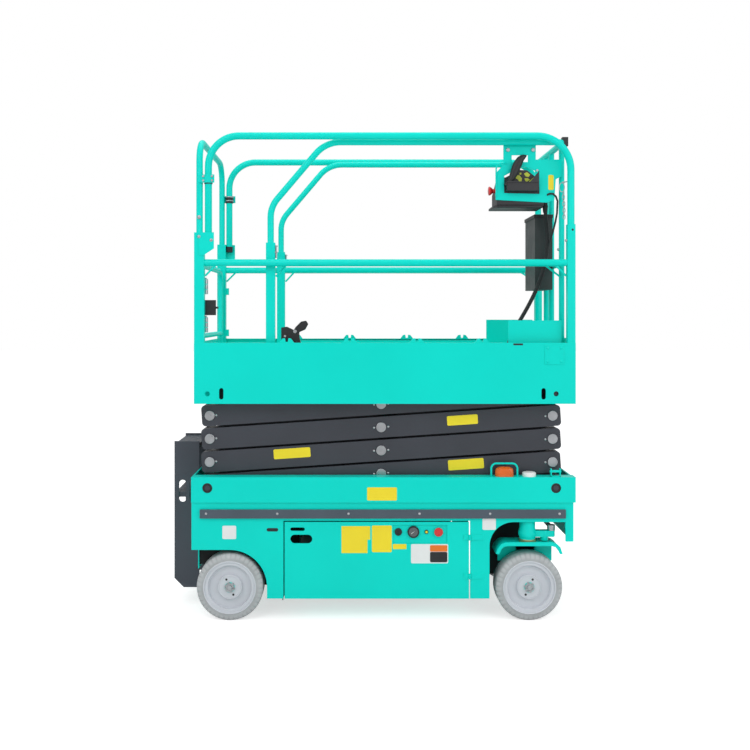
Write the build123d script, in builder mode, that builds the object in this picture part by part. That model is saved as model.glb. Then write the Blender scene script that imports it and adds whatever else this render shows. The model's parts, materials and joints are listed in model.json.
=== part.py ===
from build123d import *
from math import asin, cos, degrees, radians, sin, tan
import os

os.makedirs("parts", exist_ok=True)

# A slab scissor lift with four stages of arms, drawn lowered and standing on the ground.
# +X points to the steered end, -Y is the near side, the origin is on the ground below the middle.

# Overall layout
BODY_HALF_W = 380
CHASSIS_REAR_X = -818
CHASSIS_FRONT_X = 939
CHASSIS_TOP_Z = 657
BEAM_H = 116
BEAM_W = 64
BEAM_WEB = 6
PLATE_T = 6
END_PLATE_T = 8
SKIRT_BOTTOM_Z = 100
SKIRT_SET_IN = 8
SKIRT_T = 6
CROSS_TUBE_H = 80
CROSS_TUBE_W = 60
CROSS_TUBE_X = (-642, -380, 480)
TIE_DOWN_D = 32
TIE_DOWN_Y = 250
TIE_DOWN_Z = 400

# Wheels and axles
WHEEL_D = 305
TYRE_W = 110
TYRE_CHAMFER = 14
RIM_D = 237
RIM_LIP = 18
RIM_INSET = 5
HUB_D = 112
HUB_INSET = 10
RIM_WEB_T = 22
RIM_WEB_INSET = 27
WHEELBASE = 1370
REAR_AXLE_X = -642
FRONT_AXLE_X = REAR_AXLE_X + WHEELBASE
TRACK_Y = 325
SPINDLE_D = 40
RUNNING = 0.05
TOUCH_GAP = 0.3
NUT_D = 45
NUT_H = 8
AXLE_BEAM = 100
AXLE_HALF_W = 235
AXLE_FLANGE_D = 120
HANGER_T = 55
REAR_ARCH_GAP = 17.5
FRONT_ARCH_X = (546.6, 894)
FRONT_ARCH_Z = 450
FRONT_ARCH_R = 110
TAIL_BOTTOM_Z = 361
TAIL_X = 931

# Steering
KINGPIN_D = 45
KINGPIN_HOUSING_D = 72
KINGPIN_HOUSING_Z = (352, 449)
KINGPIN_BEAM_W = 120
KINGPIN_END_GAP = 3
GUARD_X_REACH = 150
GUARD_BEND_R = 42
GUARD_DROP_X = 16
GUARD_DROP_Z = 44
GUARD_T = 6
GUARD_WHEEL_GAP = 41
KNUCKLE_PLATE_W = 110
KNUCKLE_PLATE_T = 8
WHEEL_SIDE_GAP = 8
STEER_ARM_L = 110
STEER_ARM_W = 34
STEER_ARM_Z = (375, 403)
STEER_BOSS_X = 78
STEER_BOSS_D = 36
TIE_PIN_D = 16
TIE_EYE_D = 36
TIE_EYE_H = 24
TIE_ROD_D = 20
TIE_GAP = 1

# Doors and trays between the wheels
DOOR_X = (-391.5, 452.5)
DOOR_TOP_Z = 451
DOOR_GAP = 5
DOOR_HINGE_OUT = 6
DOOR_HINGE_Z = (203, 381)
HINGE_D = 14
HINGE_H = 24
HINGE_LEAF_L = 64
HINGE_LEAF_T = 4
TRAY_X = (-345, 440)
TRAY_DEPTH = 250
TRAY_Z = 106
TRAY_T = 6
PANEL_X = (104, 352.6)
PANEL_Z = (352, 437.6)
PANEL_MARGIN = 8
PANEL_T = 4
SWITCH_Z = 405
KEY_X = 129
KEY_D = 34
GAUGE_X = 198
GAUGE_D = 54
BUTTON_X = 258
BUTTON_D = 18
STOP_X = 313
STOP_D = 40
STOP_H = 12
UNIT_H = 215
UNIT_MARGIN = 16
BATTERY_COUNT = 4
BATTERY_GAP = 12
BATTERY_H = 270

# Rub strips
STRIP_X = (-778, 893)
STRIP_Z = (469, 509)
STRIP_T = 12

# Ladder
LADDER_X = -939
LADDER_HALF_W = 150
LADDER_T = 6
LADDER_Z = (85, 790)
LADDER_CHAMFER = 45
STEP_Z = (310, 545, 780)
STEP_H = 25
STEP_INSET = 5
LADDER_SLOT = (34, 106)
LADDER_SLOT_X = (-899, -848)
LADDER_SLOT_Z = 550

# Beacon on the chassis top
BEACON_X = 618
BEACON_L = 86
BEACON_W = 50
BEACON_H = 44
BEACON_HOOP_L = 120
BEACON_HOOP_H = 58
BEACON_HOOP_D = 9
BEACON_HOOP_R = 24
CAP_X = 732
CAP_D = 62
CAP_H = 20

# Scissor arms
STAGES = 4
ARM_L = 1597
ARM_H = 97
ARM_T = 50
ARM_END = 38
ARM_CORNER = 18
ARM_SIDE_GAP = 6
OUTER_ARM_FACE_Y = 306
STAGE_PITCH = 107.75
PIN_D = 40
PIN_CAP_D = 48
PIN_CAP_T = 4
CROSS_SHAFT_D = 50
FIXED_PIN_X = -744
FIXED_PIN_Z = 607
ROLLER_D = 68
ROLLER_W = 46
ROLLER_GAP = 0.5
PIVOT_PLATE_T = 12
PIVOT_PLATE_W = 70

# Lift cylinder
CYL_REACH = 700
CYL_EYE_D = 68
CYL_EYE_W = 56
CYL_BORE_D = 70
CYL_WALL = 7
CYL_ROD_D = 48
CYL_HEAD_L = 22
CYL_START = 45
CYL_LENGTH = 1256
CYL_PISTON_L = 20
CYL_PISTON_AT = 66
LUG_T = 10
LUG_W = 62
LUG_SIDE_GAP = 4

# Platform
PLATFORM_X = (-805, 939)
PLATFORM_BOTTOM_Z = 992
FLOOR_Z = 1130
BOARD_TOP_Z = 1271
BOARD_T = 4
DECK_T = 6
DECK_BEAM_H = 24
DECK_BEAM_W = 50
DECK_BEAM_X = (-640, -300, 60, 420, 780)
LIP_W = 16
TREAD_X = (-752, -488)
TREAD_HALF_W = 330
TREAD_T = 2
ACCESS_HOLE_D = 46
BOARD_SLOT = (20, 52)
BOARD_SLOT_X = (-680, 792)

# Guard rails
RAIL_D = 33
RAIL_Y = 359
TOP_RAIL_Z = 2220
MID_RAIL_Z = 1638
MID_RAIL_D = 32
LEG_X = -742
LEG_BOTTOM_Z = 1743
LEFT_BEND_R = 140
RIGHT_BEND_R = 155
FRONT_POST_X = (903, 939)
FRONT_POST_W = 34
FRONT_POST_TOP_Z = 1813
REAR_POST_X = (-805, -760)
REAR_POST_W = 36
REAR_POST_TOP_Z = 1776
HOOP_D = 30
HOOP_X = -782
HOOP_Y = 361
HOOP_Z = 2203
HOOP_BEND_R = 100
GUSSET = ((-783, 1776), (-714, 1776), (-714, 1702), (-760, 1672), (-783, 1672))
CLAMP_X = (-785, -712)
CLAMP_Z = (2003, 2040)
BRACE_D = 9
BRACE_TRIM = 3.4
BRACE_REACH = 52

# Entry gate
GATE_X = -783
GATE_AXIS_X = -757
GATE_AXIS_Y = -331.7
GATE_HALF_W = 326
GATE_Z = (1300, 1630)
GATE_TUBE = 28
GATE_BAR_D = 24
GATE_BEND_R = 60
GATE_HINGE_Z = (1318, 1494)
GATE_HINGE_H = 70
GATE_HINGE_D = 16

# Extension deck
EXT_X = (-481, 925)
EXT_HALF_W = 335
EXT_T = 5
EXT_LIFT = 6
EXT_SKID_W = 20
EXT_SKID_GAP = 0.5
EXT_BOARD_TOP_Z = 1262
EXT_BOARD_T = 4
EXT_FRONT_TOP_Z = 1290
EXT_WING_X = (638, 885)
EXT_WING_TOP_Z = 1373
EXT_POST = (42, 31.2)
EXT_POST_TOP_Z = 1733
EXT_RAIL_D = 30
EXT_RAIL_Y = 315
EXT_RAIL_REAR_X = -460
EXT_RAIL_FRONT_X = 900
EXT_TOP_Z = 2200
EXT_BEND_Z = 1900
EXT_BEND_X = -205
EXT_LOWER_R = 130
EXT_UPPER_R = 150
EXT_PLAN_R = 45
EXT_FRONT_POST_Y = (-270, -60, 60, 270)
EXT_FRONT_POST_D = 26

# Controls on the extension
BRACKET_T = 4
BRACKET_OUTLINE = (
    (622, 2212), (773, 2212), (773, 2122), (894, 2122), (894, 2045), (866, 2030), (860, 1935),
    (824, 1909), (586, 1915), (578, 2090), (596, 2105), (622, 2105),
)
BRACKET_WINDOW = ((661, 2109), (661, 2142), (736, 2142), (736, 2109))
CONSOLE_WINDOW = ((629, 1975), (629, 2044), (775, 2060), (778, 1960))
CONSOLE_X = (592, 812)
CONSOLE_DEPTH = 150
CONSOLE_Z = (1912, 2040)
CONSOLE_SLOPE = 70
JOYSTICK_BASE = (648, 2030)
JOYSTICK_TOP = (712, 2128)
JOYSTICK_D = 34
JOYSTICK_STEM_D = 20
BOX_STOP_D = 34
BOX_STOP_Z = 1955
DOCUMENT_X = (800, 884.7)
DOCUMENT_Y = (-150, 90)
DOCUMENT_Z = (1520, 1880)
DOCUMENT_WALL = 4

# Conduit from the control box to the extension floor
CONDUIT_D = 20
CONDUIT_ROUTE = (
    (836, -210, 1915), (838, -206, 1868), (846, -200, 1815), (850, -196, 1760), (848, -194, 1700),
    (838, -193, 1640), (822, -194, 1582), (800, -196, 1526), (774, -198, 1471), (745, -200, 1418),
    (714, -202, 1366), (684, -204, 1313), (660, -205, 1257), (648, -206, 1198), (648, -206, 1141),
)

# Deck lock pedal
LOCK_OUTLINE = (
    (-439, 1262), (-439, 1318), (-402, 1338), (-372, 1392), (-308, 1402),
    (-302, 1388), (-350, 1368), (-342, 1300), (-296, 1276), (-296, 1262),
)
LOCK_W = 40

# Sizes that follow from the ones above
REST_ANGLE = degrees(asin(STAGE_PITCH / ARM_L))
ARM_RUN = ARM_L * cos(radians(REST_ANGLE))
MIDDLE_X = FIXED_PIN_X + ARM_RUN / 2
SLIDE_PIN_X = FIXED_PIN_X + ARM_RUN
OUTER_ARM_INNER_Y = OUTER_ARM_FACE_Y - ARM_T
INNER_ARM_FACE_Y = OUTER_ARM_INNER_Y - ARM_SIDE_GAP
INNER_ARM_INNER_Y = INNER_ARM_FACE_Y - ARM_T
PLATFORM_PIN_Z = FIXED_PIN_Z + STAGES * STAGE_PITCH
BEAM_BOTTOM_Z = CHASSIS_TOP_Z - BEAM_H
CROSS_TUBE_BOTTOM_Z = BEAM_BOTTOM_Z - CROSS_TUBE_H
WHEEL_R = WHEEL_D / 2
SKIRT_FACE_Y = BODY_HALF_W - SKIRT_SET_IN
SKIRT_INNER_Y = SKIRT_FACE_Y - SKIRT_T
PIN_R = PIN_D / 2
ROLLER_CLEAR = ROLLER_D / 2 + ROLLER_GAP
CHANNEL_INNER_Y = BODY_HALF_W - BEAM_W
ROLLER_Y = (BODY_HALF_W - BEAM_WEB + CHANNEL_INNER_Y) / 2
DOOR_HINGE_X = (DOOR_X[1] + DOOR_X[1] + DOOR_GAP) / 2
DOOR_HINGE_Y = SKIRT_FACE_Y + DOOR_HINGE_OUT
RAIL_R = RAIL_D / 2
EXT_FLOOR_BOTTOM_Z = FLOOR_Z + EXT_LIFT
EXT_FLOOR_Z = EXT_FLOOR_BOTTOM_Z + EXT_T


def block(x, y, z, mode=Mode.ADD):
    """A box between two values along each axis."""
    with Locations(((x[0] + x[1]) / 2, (y[0] + y[1]) / 2, (z[0] + z[1]) / 2)):
        Box(x[1] - x[0], y[1] - y[0], z[1] - z[0], mode=mode)


def both_sides(x, y, z, mode=Mode.ADD):
    """The same box on the near and far side, y being distances from the middle."""
    block(x, (-y[1], -y[0]), z, mode)
    block(x, (y[0], y[1]), z, mode)


def rod_across(x, z, y, diameter, mode=Mode.ADD):
    """A round bar along Y between two values."""
    with Locations(Plane(origin=(x, y[0], z), z_dir=(0, 1, 0))):
        Cylinder(diameter / 2, y[1] - y[0], align=(Align.CENTER, Align.CENTER, Align.MIN), mode=mode)


def rod_upright(x, y, z, diameter, mode=Mode.ADD):
    """A round bar along Z between two values."""
    with Locations((x, y, z[0])):
        Cylinder(diameter / 2, z[1] - z[0], align=(Align.CENTER, Align.CENTER, Align.MIN), mode=mode)


def rod_between(start, end, diameter, mode=Mode.ADD):
    """A round bar from one point to another."""
    run = Vector(*end) - Vector(*start)
    with Locations(Plane(origin=start, z_dir=run)):
        Cylinder(diameter / 2, run.length, align=(Align.CENTER, Align.CENTER, Align.MIN), mode=mode)


def bent_tube(points, bends, diameter):
    """A round tube along straight runs joined by tangent arcs."""
    with BuildLine() as route:
        FilletPolyline(*points, radius=bends)
    with BuildSketch(Plane(origin=route.line @ 0, z_dir=route.line % 0)) as section:
        Circle(diameter / 2)
    sweep(sections=section.sketch, path=route.line)


def upright_plate(outline, y, thickness, mode=Mode.ADD):
    """A flat plate in the X-Z plane, from y towards the near side."""
    with BuildSketch(Plane.XZ.offset(-y)) as face:
        Polygon(*outline, align=None)
    extrude(face.sketch, amount=thickness, mode=mode)


# Chassis frame: two roller channels, cross tubes, end plates and the two kingpins
CHANNEL_Y = (CHANNEL_INNER_Y, BODY_HALF_W)
WEB_Y = (BODY_HALF_W - BEAM_WEB, BODY_HALF_W)
CHASSIS_X = (CHASSIS_REAR_X, CHASSIS_FRONT_X)
with BuildPart() as chassis_frame:
    both_sides(CHASSIS_X, WEB_Y, (BEAM_BOTTOM_Z, CHASSIS_TOP_Z))
    both_sides(CHASSIS_X, CHANNEL_Y, (BEAM_BOTTOM_Z, FIXED_PIN_Z - ROLLER_CLEAR))
    both_sides(CHASSIS_X, CHANNEL_Y, (FIXED_PIN_Z + ROLLER_CLEAR, CHASSIS_TOP_Z))
    for access_x in (FIXED_PIN_X, SLIDE_PIN_X):
        rod_across(access_x, FIXED_PIN_Z, (-BODY_HALF_W, BODY_HALF_W), ACCESS_HOLE_D, Mode.SUBTRACT)
    for tube_x in CROSS_TUBE_X:
        tube_span = (tube_x - CROSS_TUBE_W / 2, tube_x + CROSS_TUBE_W / 2)
        block(tube_span, (-SKIRT_INNER_Y, SKIRT_INNER_Y), (CROSS_TUBE_BOTTOM_Z, BEAM_BOTTOM_Z))
    kingpin_span = (FRONT_AXLE_X - KINGPIN_BEAM_W / 2, FRONT_AXLE_X + KINGPIN_BEAM_W / 2)
    block(kingpin_span, (-SKIRT_INNER_Y, SKIRT_INNER_Y), (CROSS_TUBE_BOTTOM_Z, BEAM_BOTTOM_Z))
    rear_plate = (CHASSIS_REAR_X, CHASSIS_REAR_X + END_PLATE_T)
    front_plate = (TAIL_X - END_PLATE_T, TAIL_X)
    block(rear_plate, (-SKIRT_INNER_Y, SKIRT_INNER_Y), (WHEEL_R + WHEEL_R + REAR_ARCH_GAP, CHASSIS_TOP_Z))
    block(front_plate, (-SKIRT_INNER_Y, SKIRT_INNER_Y), (TAIL_BOTTOM_Z, CHASSIS_TOP_Z))
    for plate_x in (rear_plate, front_plate):
        for side in (-1, 1):
            with Locations(Plane(origin=(plate_x[0], side * TIE_DOWN_Y, TIE_DOWN_Z), z_dir=(1, 0, 0))):
                hole_align = (Align.CENTER, Align.CENTER, Align.MIN)
                Cylinder(TIE_DOWN_D / 2, END_PLATE_T, align=hole_align, mode=Mode.SUBTRACT)
    for side in (-1, 1):
        pin_z = (KINGPIN_HOUSING_Z[0] + GUARD_T + KINGPIN_END_GAP, CROSS_TUBE_BOTTOM_Z)
        rod_upright(FRONT_AXLE_X, side * TRACK_Y, pin_z, KINGPIN_D)
        inner, outer = sorted((side * OUTER_ARM_INNER_Y, side * BODY_HALF_W - side * BEAM_WEB))
        rod_across(FIXED_PIN_X, FIXED_PIN_Z, (inner, outer), PIN_D)
    pivot_x = (FIXED_PIN_X - PIVOT_PLATE_W / 2, FIXED_PIN_X + PIVOT_PLATE_W / 2)
    pivot_z = (BEAM_BOTTOM_Z, CHASSIS_TOP_Z)
    both_sides(pivot_x, (CHANNEL_INNER_Y, CHANNEL_INNER_Y + PIVOT_PLATE_T), pivot_z)
chassis_frame.part.label = "chassis_frame"
export_step(chassis_frame.part, "parts/chassis_frame.step")

# Side skirts with the wheel arches and the door opening
ARCH_R = WHEEL_R + REAR_ARCH_GAP
with BuildPart() as side_skirt_near:
    with BuildSketch(Plane.XZ.offset(SKIRT_INNER_Y)) as skirt_face:
        skirt_mid = ((CHASSIS_REAR_X + TAIL_X) / 2, (SKIRT_BOTTOM_Z + BEAM_BOTTOM_Z) / 2)
        with Locations(skirt_mid):
            Rectangle(TAIL_X - CHASSIS_REAR_X, BEAM_BOTTOM_Z - SKIRT_BOTTOM_Z)
        with Locations((REAR_AXLE_X, WHEEL_R)):
            Circle(ARCH_R, mode=Mode.SUBTRACT)
            Rectangle(2 * ARCH_R, 2 * WHEEL_R, align=(Align.CENTER, Align.MAX), mode=Mode.SUBTRACT)
        with Locations((REAR_AXLE_X, WHEEL_R + ARCH_R)):
            Rectangle(2 * ARCH_R, 4 * ARCH_R, align=(Align.MAX, Align.MAX), mode=Mode.SUBTRACT)
        with Locations((FRONT_ARCH_X[0] + FRONT_ARCH_R, FRONT_ARCH_Z - FRONT_ARCH_R)):
            Circle(FRONT_ARCH_R, mode=Mode.SUBTRACT)
        with Locations((FRONT_ARCH_X[0], FRONT_ARCH_Z - FRONT_ARCH_R)):
            arch_leg = FRONT_ARCH_Z - FRONT_ARCH_R - SKIRT_BOTTOM_Z
            Rectangle(FRONT_ARCH_R, arch_leg, align=(Align.MIN, Align.MAX), mode=Mode.SUBTRACT)
        with Locations((FRONT_ARCH_X[0] + FRONT_ARCH_R, FRONT_ARCH_Z)):
            arch_top = FRONT_ARCH_X[1] - FRONT_ARCH_X[0] - FRONT_ARCH_R
            arch_h = FRONT_ARCH_Z - SKIRT_BOTTOM_Z
            Rectangle(arch_top, arch_h, align=(Align.MIN, Align.MAX), mode=Mode.SUBTRACT)
        with Locations((FRONT_ARCH_X[1], TAIL_BOTTOM_Z)):
            tail_w = TAIL_X - FRONT_ARCH_X[1]
            Rectangle(tail_w, TAIL_BOTTOM_Z, align=(Align.MIN, Align.MAX), mode=Mode.SUBTRACT)
        with Locations(((DOOR_X[0] + DOOR_X[1]) / 2, DOOR_TOP_Z + DOOR_GAP)):
            door_w = DOOR_X[1] - DOOR_X[0] + 2 * DOOR_GAP
            Rectangle(door_w, DOOR_TOP_Z, align=(Align.CENTER, Align.MAX), mode=Mode.SUBTRACT)
    extrude(amount=SKIRT_T)
    for hinge_z in DOOR_HINGE_Z:
        leaf_x = (DOOR_HINGE_X + HINGE_D / 2, DOOR_HINGE_X + HINGE_LEAF_L)
        leaf_y = (-SKIRT_FACE_Y - HINGE_LEAF_T, -SKIRT_FACE_Y)
        block(leaf_x, leaf_y, (hinge_z - HINGE_H / 2, hinge_z + HINGE_H / 2))
side_skirt_near.part.label = "side_skirt_near"
export_step(side_skirt_near.part, "parts/side_skirt_near.step")

with BuildPart() as side_skirt_far:
    mirror(side_skirt_near.part, about=Plane.XZ)
side_skirt_far.part.label = "side_skirt_far"
export_step(side_skirt_far.part, "parts/side_skirt_far.step")

# Rub strips along both skirts
with BuildPart() as rub_strips:
    both_sides(STRIP_X, (SKIRT_FACE_Y, SKIRT_FACE_Y + STRIP_T), STRIP_Z)
rub_strips.part.label = "rub_strips"
export_step(rub_strips.part, "parts/rub_strips.step")

# Ladder at the rear end
with BuildPart() as ladder:
    with BuildSketch(Plane.XZ.offset(LADDER_HALF_W - LADDER_T)) as ladder_side:
        Polygon(
            (CHASSIS_REAR_X, LADDER_Z[0]), (LADDER_X + LADDER_CHAMFER, LADDER_Z[0]),
            (LADDER_X, LADDER_Z[0] + LADDER_CHAMFER), (LADDER_X, LADDER_Z[1]),
            (CHASSIS_REAR_X, LADDER_Z[1]), align=None,
        )
        for slot_x in LADDER_SLOT_X:
            with Locations((slot_x, LADDER_SLOT_Z)):
                SlotOverall(LADDER_SLOT[1], LADDER_SLOT[0], rotation=90, mode=Mode.SUBTRACT)
    extrude(amount=LADDER_T)
    mirror(about=Plane.XZ)
    for step_z in STEP_Z:
        step_x = (LADDER_X + STEP_INSET, CHASSIS_REAR_X)
        step_y = (LADDER_T - LADDER_HALF_W, LADDER_HALF_W - LADDER_T)
        block(step_x, step_y, (step_z - STEP_H, step_z))
ladder.part.label = "ladder"
export_step(ladder.part, "parts/ladder.step")

# Rear axle beam with its hangers and wheel spindles
with BuildPart() as rear_axle:
    axle_x = (REAR_AXLE_X - AXLE_BEAM / 2, REAR_AXLE_X + AXLE_BEAM / 2)
    axle_z = (WHEEL_R - AXLE_BEAM / 2, WHEEL_R + AXLE_BEAM / 2)
    block(axle_x, (-AXLE_HALF_W, AXLE_HALF_W), axle_z)
    both_sides(axle_x, (AXLE_HALF_W - HANGER_T, AXLE_HALF_W), (axle_z[0], CROSS_TUBE_BOTTOM_Z))
    for side in (-1, 1):
        flange_end = TRACK_Y - TYRE_W / 2 - WHEEL_SIDE_GAP
        hub_face = TRACK_Y + TYRE_W / 2 - HUB_INSET
        span = sorted((side * AXLE_HALF_W, side * flange_end))
        rod_across(REAR_AXLE_X, WHEEL_R, span, AXLE_FLANGE_D)
        span = sorted((side * flange_end, side * (hub_face + TOUCH_GAP)))
        rod_across(REAR_AXLE_X, WHEEL_R, span, SPINDLE_D)
        span = sorted((side * (hub_face + TOUCH_GAP), side * (hub_face + NUT_H)))
        rod_across(REAR_AXLE_X, WHEEL_R, span, NUT_D)
rear_axle.part.label = "rear_axle"
export_step(rear_axle.part, "parts/rear_axle.step")

# Steering knuckles: kingpin housing, curved wheel guard, inner plate, spindle and steer arm
GUARD_Z = WHEEL_D + GUARD_WHEEL_GAP + GUARD_T / 2
WHEEL_INNER_Y = TRACK_Y - TYRE_W / 2
with BuildPart() as knuckle_near:
    guard_left = FRONT_AXLE_X - GUARD_X_REACH
    guard_right = FRONT_AXLE_X + GUARD_X_REACH
    guard_inner_y = WHEEL_INNER_Y - WHEEL_SIDE_GAP - KNUCKLE_PLATE_T
    with BuildSketch(Plane.XZ.offset(guard_inner_y)) as guard_face:
        with BuildLine() as guard_line:
            FilletPolyline(
                (guard_left, GUARD_Z - GUARD_DROP_Z), (guard_left + GUARD_DROP_X, GUARD_Z),
                (guard_right - GUARD_DROP_X, GUARD_Z), (guard_right, GUARD_Z - GUARD_DROP_Z),
                radius=GUARD_BEND_R,
            )
        trace(line_width=GUARD_T)
    extrude(amount=TRACK_Y + TYRE_W / 2 - BEAM_WEB - guard_inner_y)
    housing_z = (GUARD_Z + GUARD_T / 2, KINGPIN_HOUSING_Z[1])
    rod_upright(FRONT_AXLE_X, -TRACK_Y, (GUARD_Z, housing_z[1]), KINGPIN_HOUSING_D)
    bore_z = (KINGPIN_HOUSING_Z[0] + GUARD_T, KINGPIN_HOUSING_Z[1])
    plate_x = (FRONT_AXLE_X - KNUCKLE_PLATE_W / 2, FRONT_AXLE_X + KNUCKLE_PLATE_W / 2)
    plate_y = (WHEEL_SIDE_GAP - WHEEL_INNER_Y, -guard_inner_y)
    block(plate_x, plate_y, (WHEEL_R - KNUCKLE_PLATE_W / 2, GUARD_Z))
    hub_face = TRACK_Y + TYRE_W / 2 - HUB_INSET
    rod_across(FRONT_AXLE_X, WHEEL_R, (-hub_face - TOUCH_GAP, plate_y[0]), SPINDLE_D)
    rod_across(FRONT_AXLE_X, WHEEL_R, (-hub_face - NUT_H, -hub_face - TOUCH_GAP), NUT_D)
    arm_y = (-TRACK_Y - STEER_ARM_W / 2, STEER_ARM_W / 2 - TRACK_Y)
    block((FRONT_AXLE_X, FRONT_AXLE_X + STEER_ARM_L), arm_y, STEER_ARM_Z)
    rod_upright(FRONT_AXLE_X + STEER_ARM_L, -TRACK_Y, STEER_ARM_Z, STEER_ARM_W)
    rod_upright(FRONT_AXLE_X + STEER_BOSS_X, -TRACK_Y, (housing_z[0] + GUARD_T, STEER_ARM_Z[1]), STEER_BOSS_D)
    rod_upright(FRONT_AXLE_X, -TRACK_Y, bore_z, KINGPIN_D + 2 * RUNNING, Mode.SUBTRACT)
    rod_upright(FRONT_AXLE_X + STEER_ARM_L, -TRACK_Y, STEER_ARM_Z, TIE_PIN_D + 2 * RUNNING, Mode.SUBTRACT)
knuckle_near.part.label = "knuckle_near"
export_step(knuckle_near.part, "parts/knuckle_near.step")

with BuildPart() as knuckle_far:
    mirror(knuckle_near.part, about=Plane.XZ)
knuckle_far.part.label = "knuckle_far"
export_step(knuckle_far.part, "parts/knuckle_far.step")

# Tie rod between the two steer arms
with BuildPart() as tie_rod:
    tie_x = FRONT_AXLE_X + STEER_ARM_L
    eye_z = (STEER_ARM_Z[1] + TIE_GAP, STEER_ARM_Z[1] + TIE_GAP + TIE_EYE_H)
    rod_across(tie_x, (eye_z[0] + eye_z[1]) / 2, (-TRACK_Y, TRACK_Y), TIE_ROD_D)
    for side in (-1, 1):
        rod_upright(tie_x, side * TRACK_Y, eye_z, TIE_EYE_D)
        rod_upright(tie_x, side * TRACK_Y, (STEER_ARM_Z[0], eye_z[0]), TIE_PIN_D)
tie_rod.part.label = "tie_rod"
export_step(tie_rod.part, "parts/tie_rod.step")

# Wheels: a solid tyre on a dished rim at each corner
TYRE_PROFILE = (
    (RIM_D / 2, -TYRE_W / 2), (WHEEL_R - TYRE_CHAMFER, -TYRE_W / 2), (WHEEL_R, TYRE_CHAMFER - TYRE_W / 2),
    (WHEEL_R, TYRE_W / 2 - TYRE_CHAMFER), (WHEEL_R - TYRE_CHAMFER, TYRE_W / 2), (RIM_D / 2, TYRE_W / 2),
)
for corner, wheel_x, side in (
    ("rear_near", REAR_AXLE_X, -1), ("rear_far", REAR_AXLE_X, 1),
    ("front_near", FRONT_AXLE_X, -1), ("front_far", FRONT_AXLE_X, 1),
):
    wheel_plane = Plane(origin=(wheel_x, side * TRACK_Y, WHEEL_R), x_dir=(1, 0, 0), z_dir=(0, 0, 1))
    axle = Axis((wheel_x, 0, WHEEL_R), (0, 1, 0))
    rim_face = side * (TYRE_W / 2 - RIM_INSET)
    web_face = side * (TYRE_W / 2 - RIM_WEB_INSET)
    web_back = side * (TYRE_W / 2 - RIM_WEB_INSET - RIM_WEB_T)
    hub_face = side * (TYRE_W / 2 - HUB_INSET)
    bore_r = SPINDLE_D / 2 + RUNNING
    with BuildPart() as tyre:
        with BuildSketch(wheel_plane) as tyre_section:
            Polygon(*TYRE_PROFILE, align=None)
        revolve(axis=axle)
    tyre.part.label = f"tyre_{corner}"
    export_step(tyre.part, f"parts/tyre_{corner}.step")
    with BuildPart() as rim:
        with BuildSketch(wheel_plane) as rim_section:
            Polygon(
                (bore_r, hub_face), (HUB_D / 2, hub_face), (HUB_D / 2, web_face),
                (RIM_D / 2 - RIM_LIP, web_face), (RIM_D / 2 - RIM_LIP, rim_face), (RIM_D / 2, rim_face),
                (RIM_D / 2, -rim_face), (RIM_D / 2 - RIM_LIP, -rim_face),
                (RIM_D / 2 - RIM_LIP, web_back), (HUB_D / 2, web_back), (HUB_D / 2, -hub_face),
                (bore_r, -hub_face), align=None,
            )
        revolve(axis=axle)
    rim.part.label = f"rim_{corner}"
    export_step(rim.part, f"parts/rim_{corner}.step")

# Side doors, each carrying a tray that swings out with it
DOOR_SLOTS = ((-332, 418, 66, 16), (-315, 373, 100, 40))
with BuildPart() as door_near:
    with BuildSketch(Plane.XZ.offset(SKIRT_INNER_Y)) as door_face:
        with Locations(((DOOR_X[0] + DOOR_X[1]) / 2, (SKIRT_BOTTOM_Z + DOOR_TOP_Z) / 2)):
            Rectangle(DOOR_X[1] - DOOR_X[0], DOOR_TOP_Z - SKIRT_BOTTOM_Z)
        with Locations(((PANEL_X[0] + PANEL_X[1]) / 2, (PANEL_Z[0] + PANEL_Z[1]) / 2)):
            Rectangle(PANEL_X[1] - PANEL_X[0], PANEL_Z[1] - PANEL_Z[0], mode=Mode.SUBTRACT)
        for slot_x, slot_z, slot_l, slot_h in DOOR_SLOTS:
            with Locations((slot_x, slot_z)):
                SlotOverall(slot_l, slot_h, mode=Mode.SUBTRACT)
    extrude(amount=SKIRT_T)
    tray_y = (-SKIRT_INNER_Y, TRAY_DEPTH - SKIRT_INNER_Y)
    block(TRAY_X, tray_y, (TRAY_Z, TRAY_Z + TRAY_T))
    for hinge_z in DOOR_HINGE_Z:
        rod_upright(DOOR_HINGE_X, -DOOR_HINGE_Y, (hinge_z - HINGE_H / 2, hinge_z + HINGE_H / 2), HINGE_D - 2)
        door_leaf_x = (DOOR_X[1] - HINGE_H, DOOR_HINGE_X)
        door_leaf_y = (-SKIRT_FACE_Y - HINGE_LEAF_T, -SKIRT_FACE_Y)
        block(door_leaf_x, door_leaf_y, (hinge_z - HINGE_H / 2, hinge_z + HINGE_H / 2))
door_near.part.label = "door_near"
export_step(door_near.part, "parts/door_near.step")

with BuildPart() as door_far:
    with BuildSketch(Plane.XZ.offset(SKIRT_INNER_Y)) as far_door_face:
        with Locations(((DOOR_X[0] + DOOR_X[1]) / 2, (SKIRT_BOTTOM_Z + DOOR_TOP_Z) / 2)):
            Rectangle(DOOR_X[1] - DOOR_X[0], DOOR_TOP_Z - SKIRT_BOTTOM_Z)
        for slot_x, slot_z, slot_l, slot_h in DOOR_SLOTS:
            with Locations((slot_x, slot_z)):
                SlotOverall(slot_l, slot_h, mode=Mode.SUBTRACT)
    extrude(amount=SKIRT_T)
    block(TRAY_X, tray_y, (TRAY_Z, TRAY_Z + TRAY_T))
    for hinge_z in DOOR_HINGE_Z:
        rod_upright(DOOR_HINGE_X, -DOOR_HINGE_Y, (hinge_z - HINGE_H / 2, hinge_z + HINGE_H / 2), HINGE_D - 2)
        block(door_leaf_x, door_leaf_y, (hinge_z - HINGE_H / 2, hinge_z + HINGE_H / 2))
    mirror(about=Plane.XZ, mode=Mode.REPLACE)
door_far.part.label = "door_far"
export_step(door_far.part, "parts/door_far.step")

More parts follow.
